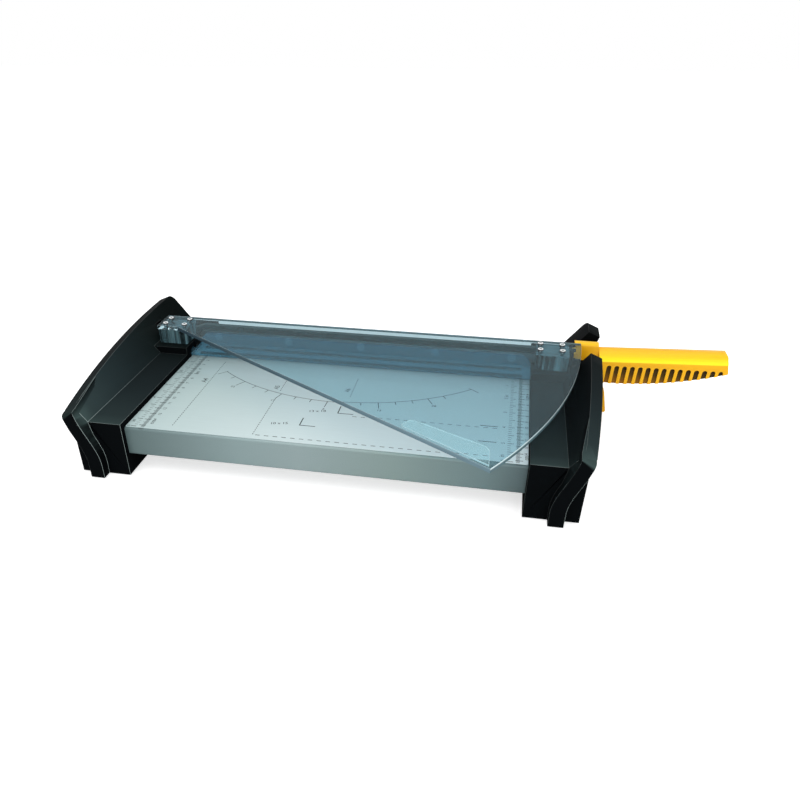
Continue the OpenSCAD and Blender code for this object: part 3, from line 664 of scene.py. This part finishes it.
def arc_mark(cx, cy, radius, start, end, width):
    """A thin printed arc, spun from one short edge."""
    nothing_selected()
    bpy.ops.mesh.primitive_plane_add(size=1.0)
    arc = bpy.context.view_layer.objects.active
    bpy.ops.object.mode_set(mode="EDIT")
    mesh = bmesh.from_edit_mesh(arc.data)
    spots = list(mesh.verts)
    angle = math.radians(start)
    for i, r in enumerate((radius - width / 2, radius + width / 2)):
        spots[i].co = bed(cx + r * math.cos(angle), cy + r * math.sin(angle), PRINT_Z)
    bmesh.ops.delete(mesh, geom=spots[2:], context="VERTS")
    bmesh.update_edit_mesh(arc.data)
    bpy.ops.mesh.select_all(action="SELECT")
    bpy.ops.mesh.spin(steps=ARC_STEPS, angle=math.radians(end - start),
                      center=bed(cx, cy, PRINT_Z), axis=(0, 0, -1))
    bpy.ops.object.mode_set(mode="OBJECT")
    return arc


# Settings


def millimetres(name, what, default, low, high):
    return bpy.props.FloatProperty(
        name=name, description=what + " in millimetres", default=default, min=low, max=high)


def tint_of(name, what, default):
    return bpy.props.FloatVectorProperty(
        name=name, description="Colour of the " + what, subtype="COLOR", size=3,
        default=default, min=0, max=1)


class CutterSizes(bpy.types.PropertyGroup):
    cap_edge: millimetres("Cap edge", "Radius of the caps' edges", 0.2, 0.1, 2.0)
    nose_edge: millimetres("Nose edge", "Radius of the noses' front edges", 3.4, 0.5, 6.0)
    grip_edge: millimetres("Grip edge", "Radius of the handle's edges", 0.5, 0.1, 1.5)
    clear_edge: millimetres("Clear edge", "Radius of the clear pieces' edges", 0.35, 0.1, 1.0)
    line_width: millimetres("Line width", "Width of the printed lines", 0.62, 0.1, 1.0)
    figure_height: millimetres("Figure height", "Height of the scales' figures", 2.9, 1.0, 5.0)


class CutterColors(bpy.types.PropertyGroup):
    guard_tint: tint_of("Guard tint", "clear guard", (0.53, 0.74, 0.81))
    rail_tint: tint_of("Rail tint", "clamp rail", (0.27, 0.56, 0.70))
    block_tint: tint_of("Block tint", "hinge blocks", (0.12, 0.22, 0.25))


def sizes():
    return bpy.context.scene.cutter_sizes


def colors():
    return bpy.context.scene.cutter_colors


# Operators


class CUTTER_OT_plain_nodes(bpy.types.Operator):
    """Give every CAD piece its finish"""

    bl_idname = "cutter.plain_nodes"
    bl_label = "Finishes"

    def execute(self, context):
        steel = ground_steel("plated_steel", (0.50, 0.52, 0.54), (0.66, 0.68, 0.70), (1, 1, 1))
        blade = ground_steel("ground_blade_steel", (0.20, 0.27, 0.28), (0.32, 0.40, 0.41))
        guard = clear_blue("clear_blue_guard", tuple(colors().guard_tint), 0.035,
                           (0.78, 0.55, 0.50), 0.012)
        rail = clear_blue("clear_blue_rail", tuple(colors().rail_tint), 0.17,
                          (0.80, 0.86, 0.88), 0.04)
        smoked = ribbed_smoke(tuple(colors().block_tint))
        black = satin_black()
        # Painted light on the grip: a painted highlight on faces turned partly up, where the side
        # rolls into the top, darker on the sides and on the top.
        yellow = warm_yellow("warm_yellow_grip", [
            (0.0, (0.93, 0.46, 0.008)), (0.20, (0.94, 0.49, 0.009)),
            (0.38, (0.98, 0.78, 0.014)), (0.62, (0.98, 0.84, 0.016)),
            (0.85, (0.96, 0.58, 0.010)), (1.0, (0.95, 0.52, 0.009))])
        # Painted light on the root and the slider: faces turned up are painted a little lighter.
        plain_yellow = warm_yellow("warm_yellow_block", [
            (0.0, (0.88, 0.42, 0.008)), (0.25, (0.90, 0.45, 0.009)),
            (0.6, (0.93, 0.54, 0.012)), (1.0, (0.94, 0.55, 0.012))])
        silver = silver_paint()
        finishes = {
            silver: ("bed_tray", "bed_stiffeners"),
            printed_film(): ("bed_sheet",),
            blade: ("fixed_blade", "moving_blade"),
            steel: ("fixed_blade_screws", "cap_screws", "pivot_bolt", "pivot_nut", "pivot_washers",
                    "moving_blade_screws", "guard_pins", "lock_pin", "clamp_springs"),
            cross_slot_steel(): ("guard_screws",),
            black: ("left_cap", "right_cap"),
            soft_rubber(): ("rubber_feet", "clamp_pads"),
            bronze_bush(): ("pivot_bush",),
            dark_arm(): ("arm_bar",),
            yellow: ("handle_shell",),
            plain_yellow: ("handle_root", "lock_slider"),
            dark_steel(): ("handle_screws",),
            guard: ("guard_sheet", "guard_grip"),
            smoked: ("guard_block_left", "guard_block_right"),
            rail: ("clamp_rail",),
        }
        for material, nodes in finishes.items():
            for node in nodes:
                for slot in frame["nodes"][node].material_slots:
                    slot.material = material
        return {"FINISHED"}


# Places of the caps in the bed's millimetres, X counted outwards on either side.
NEAR = 0.05  # how far a corner may be from its place
SHELF_Z = 4.3
FIN_BACK_Y = -157.5
BLOCK_FRONT_Y = -160.5
NOSE_FRONT_Y = -169.0
FIN_LOW, FIN_RISE = 11.77, 6.23  # lowest of the fin's back corners, and their spread
WING_LINE = ((194.5, 3.8), (-125.0, 11.5), (16.93, 5.07))  # start and run in X, Y and Z
WING_FOOT_X = 184.8  # where the wing's face meets the shelf
WING_SLOPE = 1.25  # its rise over its width
FLARE_LOW = -8.0  # the block's front edge leans inwards from here up to the shelf
FLARE = 2.95


def flared_nose(x, y, z):
    """Runs the fin's inner side back into the wing, so that the wing flares into its nose."""
    side = -1 if x < 0 else 1
    x = abs(x)
    if abs(y - FIN_BACK_Y) < NEAR and 190.2 < x < 191.6 and 11.6 < z < 18.2:
        up = (z - FIN_LOW) / FIN_RISE
        x, y, z = (start + run * up for start, run in WING_LINE)
    elif abs(y - BLOCK_FRONT_Y) < NEAR and 181 < x < 190.45 and FLARE_LOW < z < 11.7:
        if z > SHELF_Z - 0.01:
            x = WING_FOOT_X + (z - SHELF_Z) / WING_SLOPE
        else:
            x -= FLARE * (z - FLARE_LOW) / (SHELF_Z - FLARE_LOW)
    return side * x, y, z


def nose_edge(edge):
    """Whether an edge is the upper front edge of a nose, running across it."""
    ends = [from_frame(v.co) for v in edge.verts]
    return (all(abs(y - NOSE_FRONT_Y) < NEAR and z > 11.0 for x, y, z in ends)
            and abs(abs(ends[0][0]) - abs(ends[1][0])) > 5)


def front_face(face):
    """Whether a face is one of a cap's large flat fronts."""
    return face.normal.y < -0.95 and face.calc_area() > 0.00005


class CUTTER_OT_caps(bpy.types.Operator):
    """Flare the wings into their noses and round the edges of both end caps"""

    bl_idname = "cutter.caps"
    bl_label = "End caps"

    def execute(self, context):
        # The caps' rounded edges get a painted highlight.
        edge = worn_edge()
        for node in ("left_cap", "right_cap"):
            black = finish_of(node)
            piece = merged_copy(node)
            reshape(piece, flared_nose)
            if pick(piece, "EDGE", nose_edge) != 1:
                raise RuntimeError("the nose's front edge of " + node + " isn't where it was")
            bpy.ops.mesh.bevel(offset=sizes().nose_edge / 1000, segments=5)
            bpy.ops.object.mode_set(mode="OBJECT")
            dress(piece, black, edge)
            soften(piece, sizes().cap_edge, edge_slot=1, clamp=False)
            if not pick(piece, "FACE", front_face):
                raise RuntimeError(node + " has no front")
            bpy.ops.mesh.faces_shade_flat()
            bpy.ops.object.mode_set(mode="OBJECT")
            settle(piece, node + "_moulding", None, "base")
            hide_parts(node)
        return {"FINISHED"}


# Places of the grip in the bed's millimetres.
GRIP_MIDDLE = 24.0
GRIP_HALF = 12.5
GRIP_WIDE_Z = 13.28  # below this the sides draw in
GRIP_DRAW = 0.087
GRIP_TOP = 25.33
SLOT_BACK = (6.8, 7.6)  # where the part's slots end, from the middle
SLOT_DEPTH = 1.5
END_X, END_LENGTH = 312, 12


def share(value, start, length):
    """0 to 1 as a value runs on from start over a length."""
    return min(1.0, max(0.0, (value - start) / length))


def grip_flank(z):
    """Half width of the grip at a height."""
    return GRIP_HALF - max(0.0, GRIP_WIDE_Z - z) * GRIP_DRAW


def worn_grip(x, y, z):
    """Brings the slots' backs near the side, and rounds the grip's far end."""
    off = y - GRIP_MIDDLE
    if SLOT_BACK[0] < abs(off) < SLOT_BACK[1] and z < 13 and x > 220:
        y = GRIP_MIDDLE + math.copysign(grip_flank(z) - SLOT_DEPTH, off)
    if x > END_X and z > 3:
        near = share(x, END_X, END_LENGTH) ** 2
        x -= near * (1.2 + 1.5 * share(z, 10, 8)) * share(GRIP_TOP - z, 0, 4)
    return x, y, z


def in_slot(face):
    """Whether a face of the grip is a wall or the back of a slot."""
    spots = [from_frame(v.co) for v in face.verts]
    deep = [abs(y - GRIP_MIDDLE) for x, y, z in spots]
    under = [grip_flank(z) - d for d, (x, y, z) in zip(deep, spots)]
    back = min(under) > 0.3
    wall = min(deep) > 7.5 and max(deep) - min(deep) < 2.6 and max(under) > 1.2
    return max(z for x, y, z in spots) < 14 and min(deep) > 1.0 and (back or wall)


class CUTTER_OT_grip(bpy.types.Operator):
    """Shape the handle's slots and end, and round the edges of the handle and of its root"""

    bl_idname = "cutter.grip"
    bl_label = "Handle"

    def execute(self, context):
        piece = merged_copy("handle_shell")
        reshape(piece, worn_grip)
        dress(piece, finish_of("handle_shell"), slot_brown())
        # The slots' walls and backs get the painted shade.
        paint(piece, 1, in_slot, "the grip has no slots")
        soften(piece, sizes().grip_edge)
        settle(piece, "handle_shell_moulding", None, "arm")
        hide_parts("handle_shell")
        piece = soften(merged_copy("handle_root"), sizes().grip_edge)
        settle(piece, "handle_root_moulding", finish_of("handle_root"), "arm")
        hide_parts("handle_root")
        return {"FINISHED"}


# Clear faces that would coincide are kept this far apart, in millimetres.
CLEARANCE = 0.05
# The finger strip's corners in the bed's millimetres, as they are and as they should be.
STRIP_CORNERS = (
    ((63.66, -152.4), (69.2, -155.9)), ((73.26, -164.3), (64.3, -162.8)),
    ((74.66, -171.5), (65.3, -166.3)), ((128.76, -185.4), (128.4, -189.5)),
    ((127.66, -182.4), (127.3, -185.6)), ((125.36, -180.3), (125.3, -182.6)),
    ((76.96, -154.5), (73.0, -155.0)))
# The guard's screws: where a head's rim lies, the slots' bottom, and the arms' widening.
HEAD_RIM_Z = 28.8
SLOT_BOTTOM_Z = 28.0
CROSS_WIDER = 2.4


def finger_strip(x, y, z):
    """Brings the finger strip's outline to the guard's slanting edge, with its end cut square."""
    if z < GUARD_HIGH + 0.1:
        z += CLEARANCE
    for (x0, y0), (x1, y1) in STRIP_CORNERS:
        if abs(x - x0) < 0.3 and abs(y - y0) < 0.3:
            return x1, y1, z
    return x, y, z


def lower_top(x, y, z):
    """Keeps a hinge block's top clear of the guard's underside."""
    return x, y, z - CLEARANCE if z > GUARD_LOW - 0.1 else z


def slanting_edge(face):
    """Whether a face is the guard's long edge that slants across the bed."""
    return face.normal.y < -0.5 and face.normal.x < -0.3 and face.calc_area() > 0.0005


def round_edge(face):
    """Whether a face belongs to the guard's curved edge or to its back edge."""
    return abs(face.normal.z) < 0.3 and (
        face.normal.x > 0.1 and face.normal.y < 0.2 or face.normal.y > 0.9)


def cross_bottom(face):
    """Whether a face is the bottom of a screw's cross slot."""
    height = from_frame(face.calc_center_median())[2]
    return face.normal.z > 0.9 and SLOT_BOTTOM_Z - 0.1 < height < SLOT_BOTTOM_Z + 0.1


def wide_crosses(piece):
    """Widens the cross slots of the guard's screws, whose arms are thinner than they look."""
    heads = []
    for corner in piece.data.vertices:
        x, y, z = from_frame(corner.co)
        if z > HEAD_RIM_Z:
            near = [head for head in heads if abs(head[0][0] - x) < 5 and abs(head[0][1] - y) < 5]
            if near:
                near[0].append((x, y))
            else:
                heads.append([(x, y)])
    middles = [tuple((min(s[i] for s in head) + max(s[i] for s in head)) / 2 for i in (0, 1))
               for head in heads]

    def widen(x, y, z):
        for mx, my in middles:
            if z > SLOT_BOTTOM_Z - 0.1 and 0.2 < math.hypot(x - mx, y - my) < 0.7:
                return mx + (x - mx) * CROSS_WIDER, my + (y - my) * CROSS_WIDER, z
        return x, y, z

    reshape(piece, widen)


class CUTTER_OT_guard(bpy.types.Operator):
    """Polish the guard's sheet and its finger strip, and give both their edges, the sheet's with
    painted highlight and painted shade
    """

    bl_idname = "cutter.guard"
    bl_label = "Guard"

    def execute(self, context):
        # The sheet's round and back edges get a painted highlight, its slanting edge painted shade.
        bright = cut_edge("cut_edge_painted_highlight", (0.80, 0.95, 0.97), (0.10, 0.17, 0.19))
        dull = cut_edge("cut_edge_painted_shade", (0.19, 0.29, 0.33), (0.14, 0.22, 0.26), (0.22, 0.24, 0.27))
        piece = merged_copy("guard_sheet")
        dress(piece, finish_of("guard_sheet"), bright, dull)
        paint(piece, 2, slanting_edge, "the guard has no slanting edge")
        paint(piece, 1, round_edge, "the guard has no round edge")
        soften(piece, sizes().clear_edge, edge_slot=1, limit=60)
        settle(piece, "guard_sheet_polished", None, "guard")
        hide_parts("guard_sheet")

        piece = merged_copy("guard_grip")
        reshape(piece, finger_strip)
        dress(piece, clear_blue("clear_finger_strip", (0.90, 1.0, 1.0), 0.03, (0.97, 0.98, 0.98)),
              cut_edge("strip_edge", (0.42, 0.62, 0.68), (0.42, 0.62, 0.68)))
        soften(piece, sizes().clear_edge, edge_slot=1)
        settle(piece, "guard_grip_polished", None, "guard")
        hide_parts("guard_grip")

        for node in ("guard_block_left", "guard_block_right"):
            piece = merged_copy(node)
            reshape(piece, lower_top)
            soften(piece, sizes().clear_edge)
            settle(piece, node + "_moulding", finish_of(node), "guard")
            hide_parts(node)

        piece = merged_copy("guard_screws")
        dress(piece, finish_of("guard_screws"), dark_steel())
        wide_crosses(piece)
        # The slots' bottoms wear the blackened steel as painted shade.
        paint(piece, 1, cross_bottom, "the guard's screws have no slots")
        soften(piece, 0.08, segments=1, limit=50)
        settle(piece, "guard_screws_turned", None, "guard")
        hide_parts("guard_screws")
        return {"FINISHED"}


# The print, in the bed's millimetres. Each row of ticks has its shift towards the
# middle of the bed, step, count, length and width; each scale both its sides, the
# side of the bed it stands on and its rows.
CENTIMETRE_TICKS = ((1.0, 1, 153, 2.8, 0.42), (0.4, 5, 31, 4.1, 0.52), (0.0, 10, 15, 5.6, 0.75))
INCH_TICKS = ((1.2, INCH / 8, 48, 2.6, 0.46), (0.0, INCH / 2, 12, 4.6, 0.66))
SCALES = (
    (-146.6, -141.4, -1, CENTIMETRE_TICKS), (147.8, 153.2, 1, CENTIMETRE_TICKS),
    (-153.0, -148.6, -1, INCH_TICKS), (141.2, 146.4, 1, INCH_TICKS))
# Dashed paper outlines: both ends, dash, gap, and width over the plain line's.
OUTLINES = (
    (-120.5, -146, -120.5, -17, 1.5, 1.6, 1.1), (-53.4, -148, -53.4, -82, 1.5, 1.6, 1.1),
    (-53.4, -70, -53.4, -48, 1.5, 1.6, 1.1), (-51, -148.6, 134, -148.6, 3.6, 3.4, 1.2),
    (8.5, -36, 8.5, -76, 1.5, 1.6, 1.1), (17, -105, 139, -105, 3.6, 3.4, 1.1))
SMALL_FORMATS = ((-21.2, -127), (4.3, -101.5))
CORNER_WIDTH = 0.9
ARC_X, ARC_Y, ARC_R = -3.0, 80.0, 162.5
UNITS = (
    (-137.6, -48.0, "cm"), (-138.2, -144.0, "cm"), (-153.6, -47.0, "in"), (-154.4, -144.0, "in"),
    (138.0, -46.0, "in"), (137.8, -146.0, "in"), (155.3, -45.0, "cm"), (155.6, -145.0, "cm"))
PAPER_NAMES = (("A4", -125.0, -62.0, 5.0), ("A5", -58.0, -64.0, 4.4), ("A6", 4.0, -60.0, 4.4))
PHOTO_NAMES = (("10 x 15", -38.0, -127.0), ("13 x 18", -13.0, -101.0))


def on_arc(angle, beyond=0.0):
    """A place on the protractor's arc, or beyond it."""
    turn = math.radians(angle)
    return ARC_X + (ARC_R + beyond) * math.cos(turn), ARC_Y + (ARC_R + beyond) * math.sin(turn)


def line_marks():
    """Ticks, paper outlines, corner marks and the protractor."""
    thin = sizes().line_width
    marks = []
    for inner, outer, side, rows in SCALES:
        middle = (inner + outer) / 2
        for shift, step, count, length, width in rows:
            tick = bar_mark(middle - side * shift, -step, length, width)
            marks.append(repeated(tick, count, 0, -step))
    for *ends, dash, gap, wider in OUTLINES:
        marks.append(dashes(*ends, dash, gap, thin * wider))
    for x, y in SMALL_FORMATS:
        marks.append(line_mark(x, y - 0.4, x, y + 12.4, CORNER_WIDTH))
        marks.append(line_mark(x - 0.4, y, x + 12.8, y, CORNER_WIDTH))
    for y in (-102, -127):
        marks.append(line_mark(119.3, y, 133, y, CORNER_WIDTH))
    marks.append(arc_mark(ARC_X, ARC_Y, ARC_R, -132.0, -47.1, thin))
    marks.append(line_mark(-111, -40, -118.3, -47.4, thin))
    marks.append(line_mark(105.8, -37, 114.6, -44.4, thin))
    for i, angle in enumerate(range(-127, -52, 5)):
        long = 10.5 if i % 3 == 1 else 5.0
        marks.append(line_mark(*on_arc(angle), *on_arc(angle, long), thin))
    return marks


def figure_marks():
    """The figures of the scales and of the protractor, units and paper sizes."""
    tall = sizes().figure_height
    figures = []
    for k in range(1, 15):
        figures.append(words(str(k), -138.0, -10 * k, tall, 90))
        figures.append(words(str(k), 155.5, -10 * k, tall * 0.9, 90))
    for k in range(1, 7):
        figures.append(words(str(k), -155.0, -INCH * k, tall, 90))
        figures.append(words(str(k), 138.0, -INCH * k, tall, 90))
    for x, y, unit in UNITS:
        figures.append(words(unit, x, y, tall * 1.3, 90))
    for angle in range(-122, -57, 15):
        figures.append(words(str(abs(90 + angle)), *on_arc(angle, 14), tall, 0))
    for text, x, y, size in PAPER_NAMES:
        figures.append(words(text, x, y, size, 90))
    for text, x, y in PHOTO_NAMES:
        figures.append(words(text, x, y, 3.4, 12))
    return figures


class CUTTER_OT_print(bpy.types.Operator):
    """Print the scales, the paper outlines and the protractor on the bed"""

    bl_idname = "cutter.print"
    bl_label = "Print"

    def execute(self, context):
        ink = print_ink()
        settle(join(line_marks()), "bed_print", ink, "base")
        settle(join(figure_marks()), "bed_figures", ink, "base")
        return {"FINISHED"}


# The stage. Each lamp has its name, place, size, power and the place it is aimed at.
FLOOR_GLOW = 0.62
WORLD_LIGHT, WORLD_SEEN = 0.42, 1.0
LAMPS = (
    ("key", (-0.5, -0.9, 1.3), 0.9, 8.0, (0.05, 0, 0.03)),
    ("top", (0.1, 0.3, 1.5), 1.4, 8.0, (0.0, 0, 0.0)),
    ("front", (0.3, -1.7, 0.45), 1.2, 13.0, (0.05, 0, 0.03)),
    ("fill", (1.1, -0.6, 0.8), 0.8, 3.0, (0.1, 0, 0.03)))
CAMERA_EYE = (124.0, -620.8, 276.0)  # in the bed's millimetres
CAMERA_LOOK = (-0.16400, 0.79458, -0.58459)
CAMERA_RIGHT = (0.98025, 0.19765, -0.00636)
CAMERA_SENSOR, CAMERA_LENS = 36.0, 32.77
CAMERA_SHIFT = (0.0579, 0.1506)


def lay_floor():
    """A pale floor that glows for the camera, so that it runs into the background."""
    nothing_selected()
    bpy.ops.mesh.primitive_plane_add(size=8.0, location=(0, 0, 0))
    floor = applied(bpy.context.view_layer.objects.active)
    floor.name = "floor"
    f = Finish("pale_floor")
    f.set(Roughness=0.9, Specular_IOR_Level=0.1)
    f.color(f.ramp(f.noise(2, 2), [(0.3, grey(0.86)), (0.7, grey(0.88))]))
    path = f.add("ShaderNodeLightPath")
    glow = f.add("ShaderNodeEmission")
    glow.inputs["Color"].default_value = (1, 1, 1, 1)
    seen = math_node(f.tree, "MULTIPLY", path.outputs["Is Camera Ray"], FLOOR_GLOW)
    f.link(seen, glow.inputs["Strength"])
    both = f.add("ShaderNodeAddShader")
    f.link(f.shader.outputs["BSDF"], both.inputs[0])
    f.link(glow.outputs["Emission"], both.inputs[1])
    f.link(both.outputs["Shader"], f.tree.nodes["Material Output"].inputs["Surface"])
    floor.data.materials.append(f.material)


def light_world(scene):
    """A white background, dimmer as a light, and never bright through the guard onto the bed."""
    world = bpy.data.worlds.new("studio")
    scene.world = world
    world.use_nodes = True
    tree = world.node_tree
    background = tree.nodes["Background"]
    path = tree.nodes.new("ShaderNodeLightPath").outputs
    seen = math_node(tree, "MAXIMUM", path["Is Camera Ray"], path["Is Glossy Ray"])
    seen = math_node(tree, "MAXIMUM", seen, path["Is Transmission Ray"])
    direct = math_node(tree, "LESS_THAN", path["Diffuse Depth"], 0.5)
    level = tree.nodes.new("ShaderNodeMapRange")
    level.inputs["To Min"].default_value = WORLD_LIGHT
    level.inputs["To Max"].default_value = WORLD_SEEN
    tree.links.new(math_node(tree, "MULTIPLY", seen, direct), level.inputs["Value"])
    tree.links.new(level.outputs["Result"], background.inputs["Strength"])
    background.inputs["Color"].default_value = (1, 1, 1, 1)


def hang_lamps(scene):
    """Soft square lamps round the cutter."""
    for name, place, size, power, aim in LAMPS:
        lamp = bpy.data.lights.new(name, "AREA")
        lamp.size = size
        lamp.energy = power
        stand = bpy.data.objects.new(name, lamp)
        scene.collection.objects.link(stand)
        stand.location = place
        stand.rotation_euler = (Vector(aim) - Vector(place)).to_track_quat("-Z", "Y").to_euler()


def set_camera(scene):
    """The camera that the printed marks of the photo give."""
    camera = bpy.data.cameras.new("camera")
    camera.sensor_width = CAMERA_SENSOR
    camera.lens = CAMERA_LENS
    camera.shift_x, camera.shift_y = CAMERA_SHIFT
    camera.clip_start = 0.01
    eye = bpy.data.objects.new("camera", camera)
    scene.collection.objects.link(eye)
    look = Vector(CAMERA_LOOK).normalized()
    right = Vector(CAMERA_RIGHT).normalized()
    up = right.cross(look).normalized()
    turn = Matrix((right, up, -look)).transposed().to_4x4()
    eye.matrix_world = Matrix.Translation(bed(*CAMERA_EYE)) @ turn
    scene.camera = eye
    scene.view_settings.view_transform = "Standard"


class CUTTER_OT_stage(bpy.types.Operator):
    """Floor, lamps, background and the camera"""

    bl_idname = "cutter.stage"
    bl_label = "Stage"

    def execute(self, context):
        lay_floor()
        light_world(context.scene)
        hang_lamps(context.scene)
        set_camera(context.scene)
        return {"FINISHED"}


class CUTTER_PT_panel(bpy.types.Panel):
    """The cutter's steps and sizes"""

    bl_label = "Paper cutter"
    bl_idname = "CUTTER_PT_panel"
    bl_space_type = "VIEW_3D"
    bl_region_type = "UI"
    bl_category = "Paper cutter"

    def draw(self, context):
        layout = self.layout
        for group in (context.scene.cutter_sizes, context.scene.cutter_colors):
            for name in group.__annotations__:
                layout.prop(group, name)
        for step in STEPS:
            layout.operator(step.bl_idname)


STEPS = (
    CUTTER_OT_plain_nodes,
    CUTTER_OT_caps,
    CUTTER_OT_grip,
    CUTTER_OT_guard,
    CUTTER_OT_print,
    CUTTER_OT_stage,
)
CLASSES = (CutterSizes, CutterColors, *STEPS, CUTTER_PT_panel)


def register():
    for cls in CLASSES:
        bpy.utils.register_class(cls)
    bpy.types.Scene.cutter_sizes = bpy.props.PointerProperty(type=CutterSizes)
    bpy.types.Scene.cutter_colors = bpy.props.PointerProperty(type=CutterColors)


def unregister():
    del bpy.types.Scene.cutter_colors
    del bpy.types.Scene.cutter_sizes
    for cls in reversed(CLASSES):
        bpy.utils.unregister_class(cls)


def main():
    register()
    bpy.ops.cutter.plain_nodes()
    bpy.ops.cutter.caps()
    bpy.ops.cutter.grip()
    bpy.ops.cutter.guard()
    bpy.ops.cutter.print()
    bpy.ops.cutter.stage()


if __name__ == "__main__":
    main()
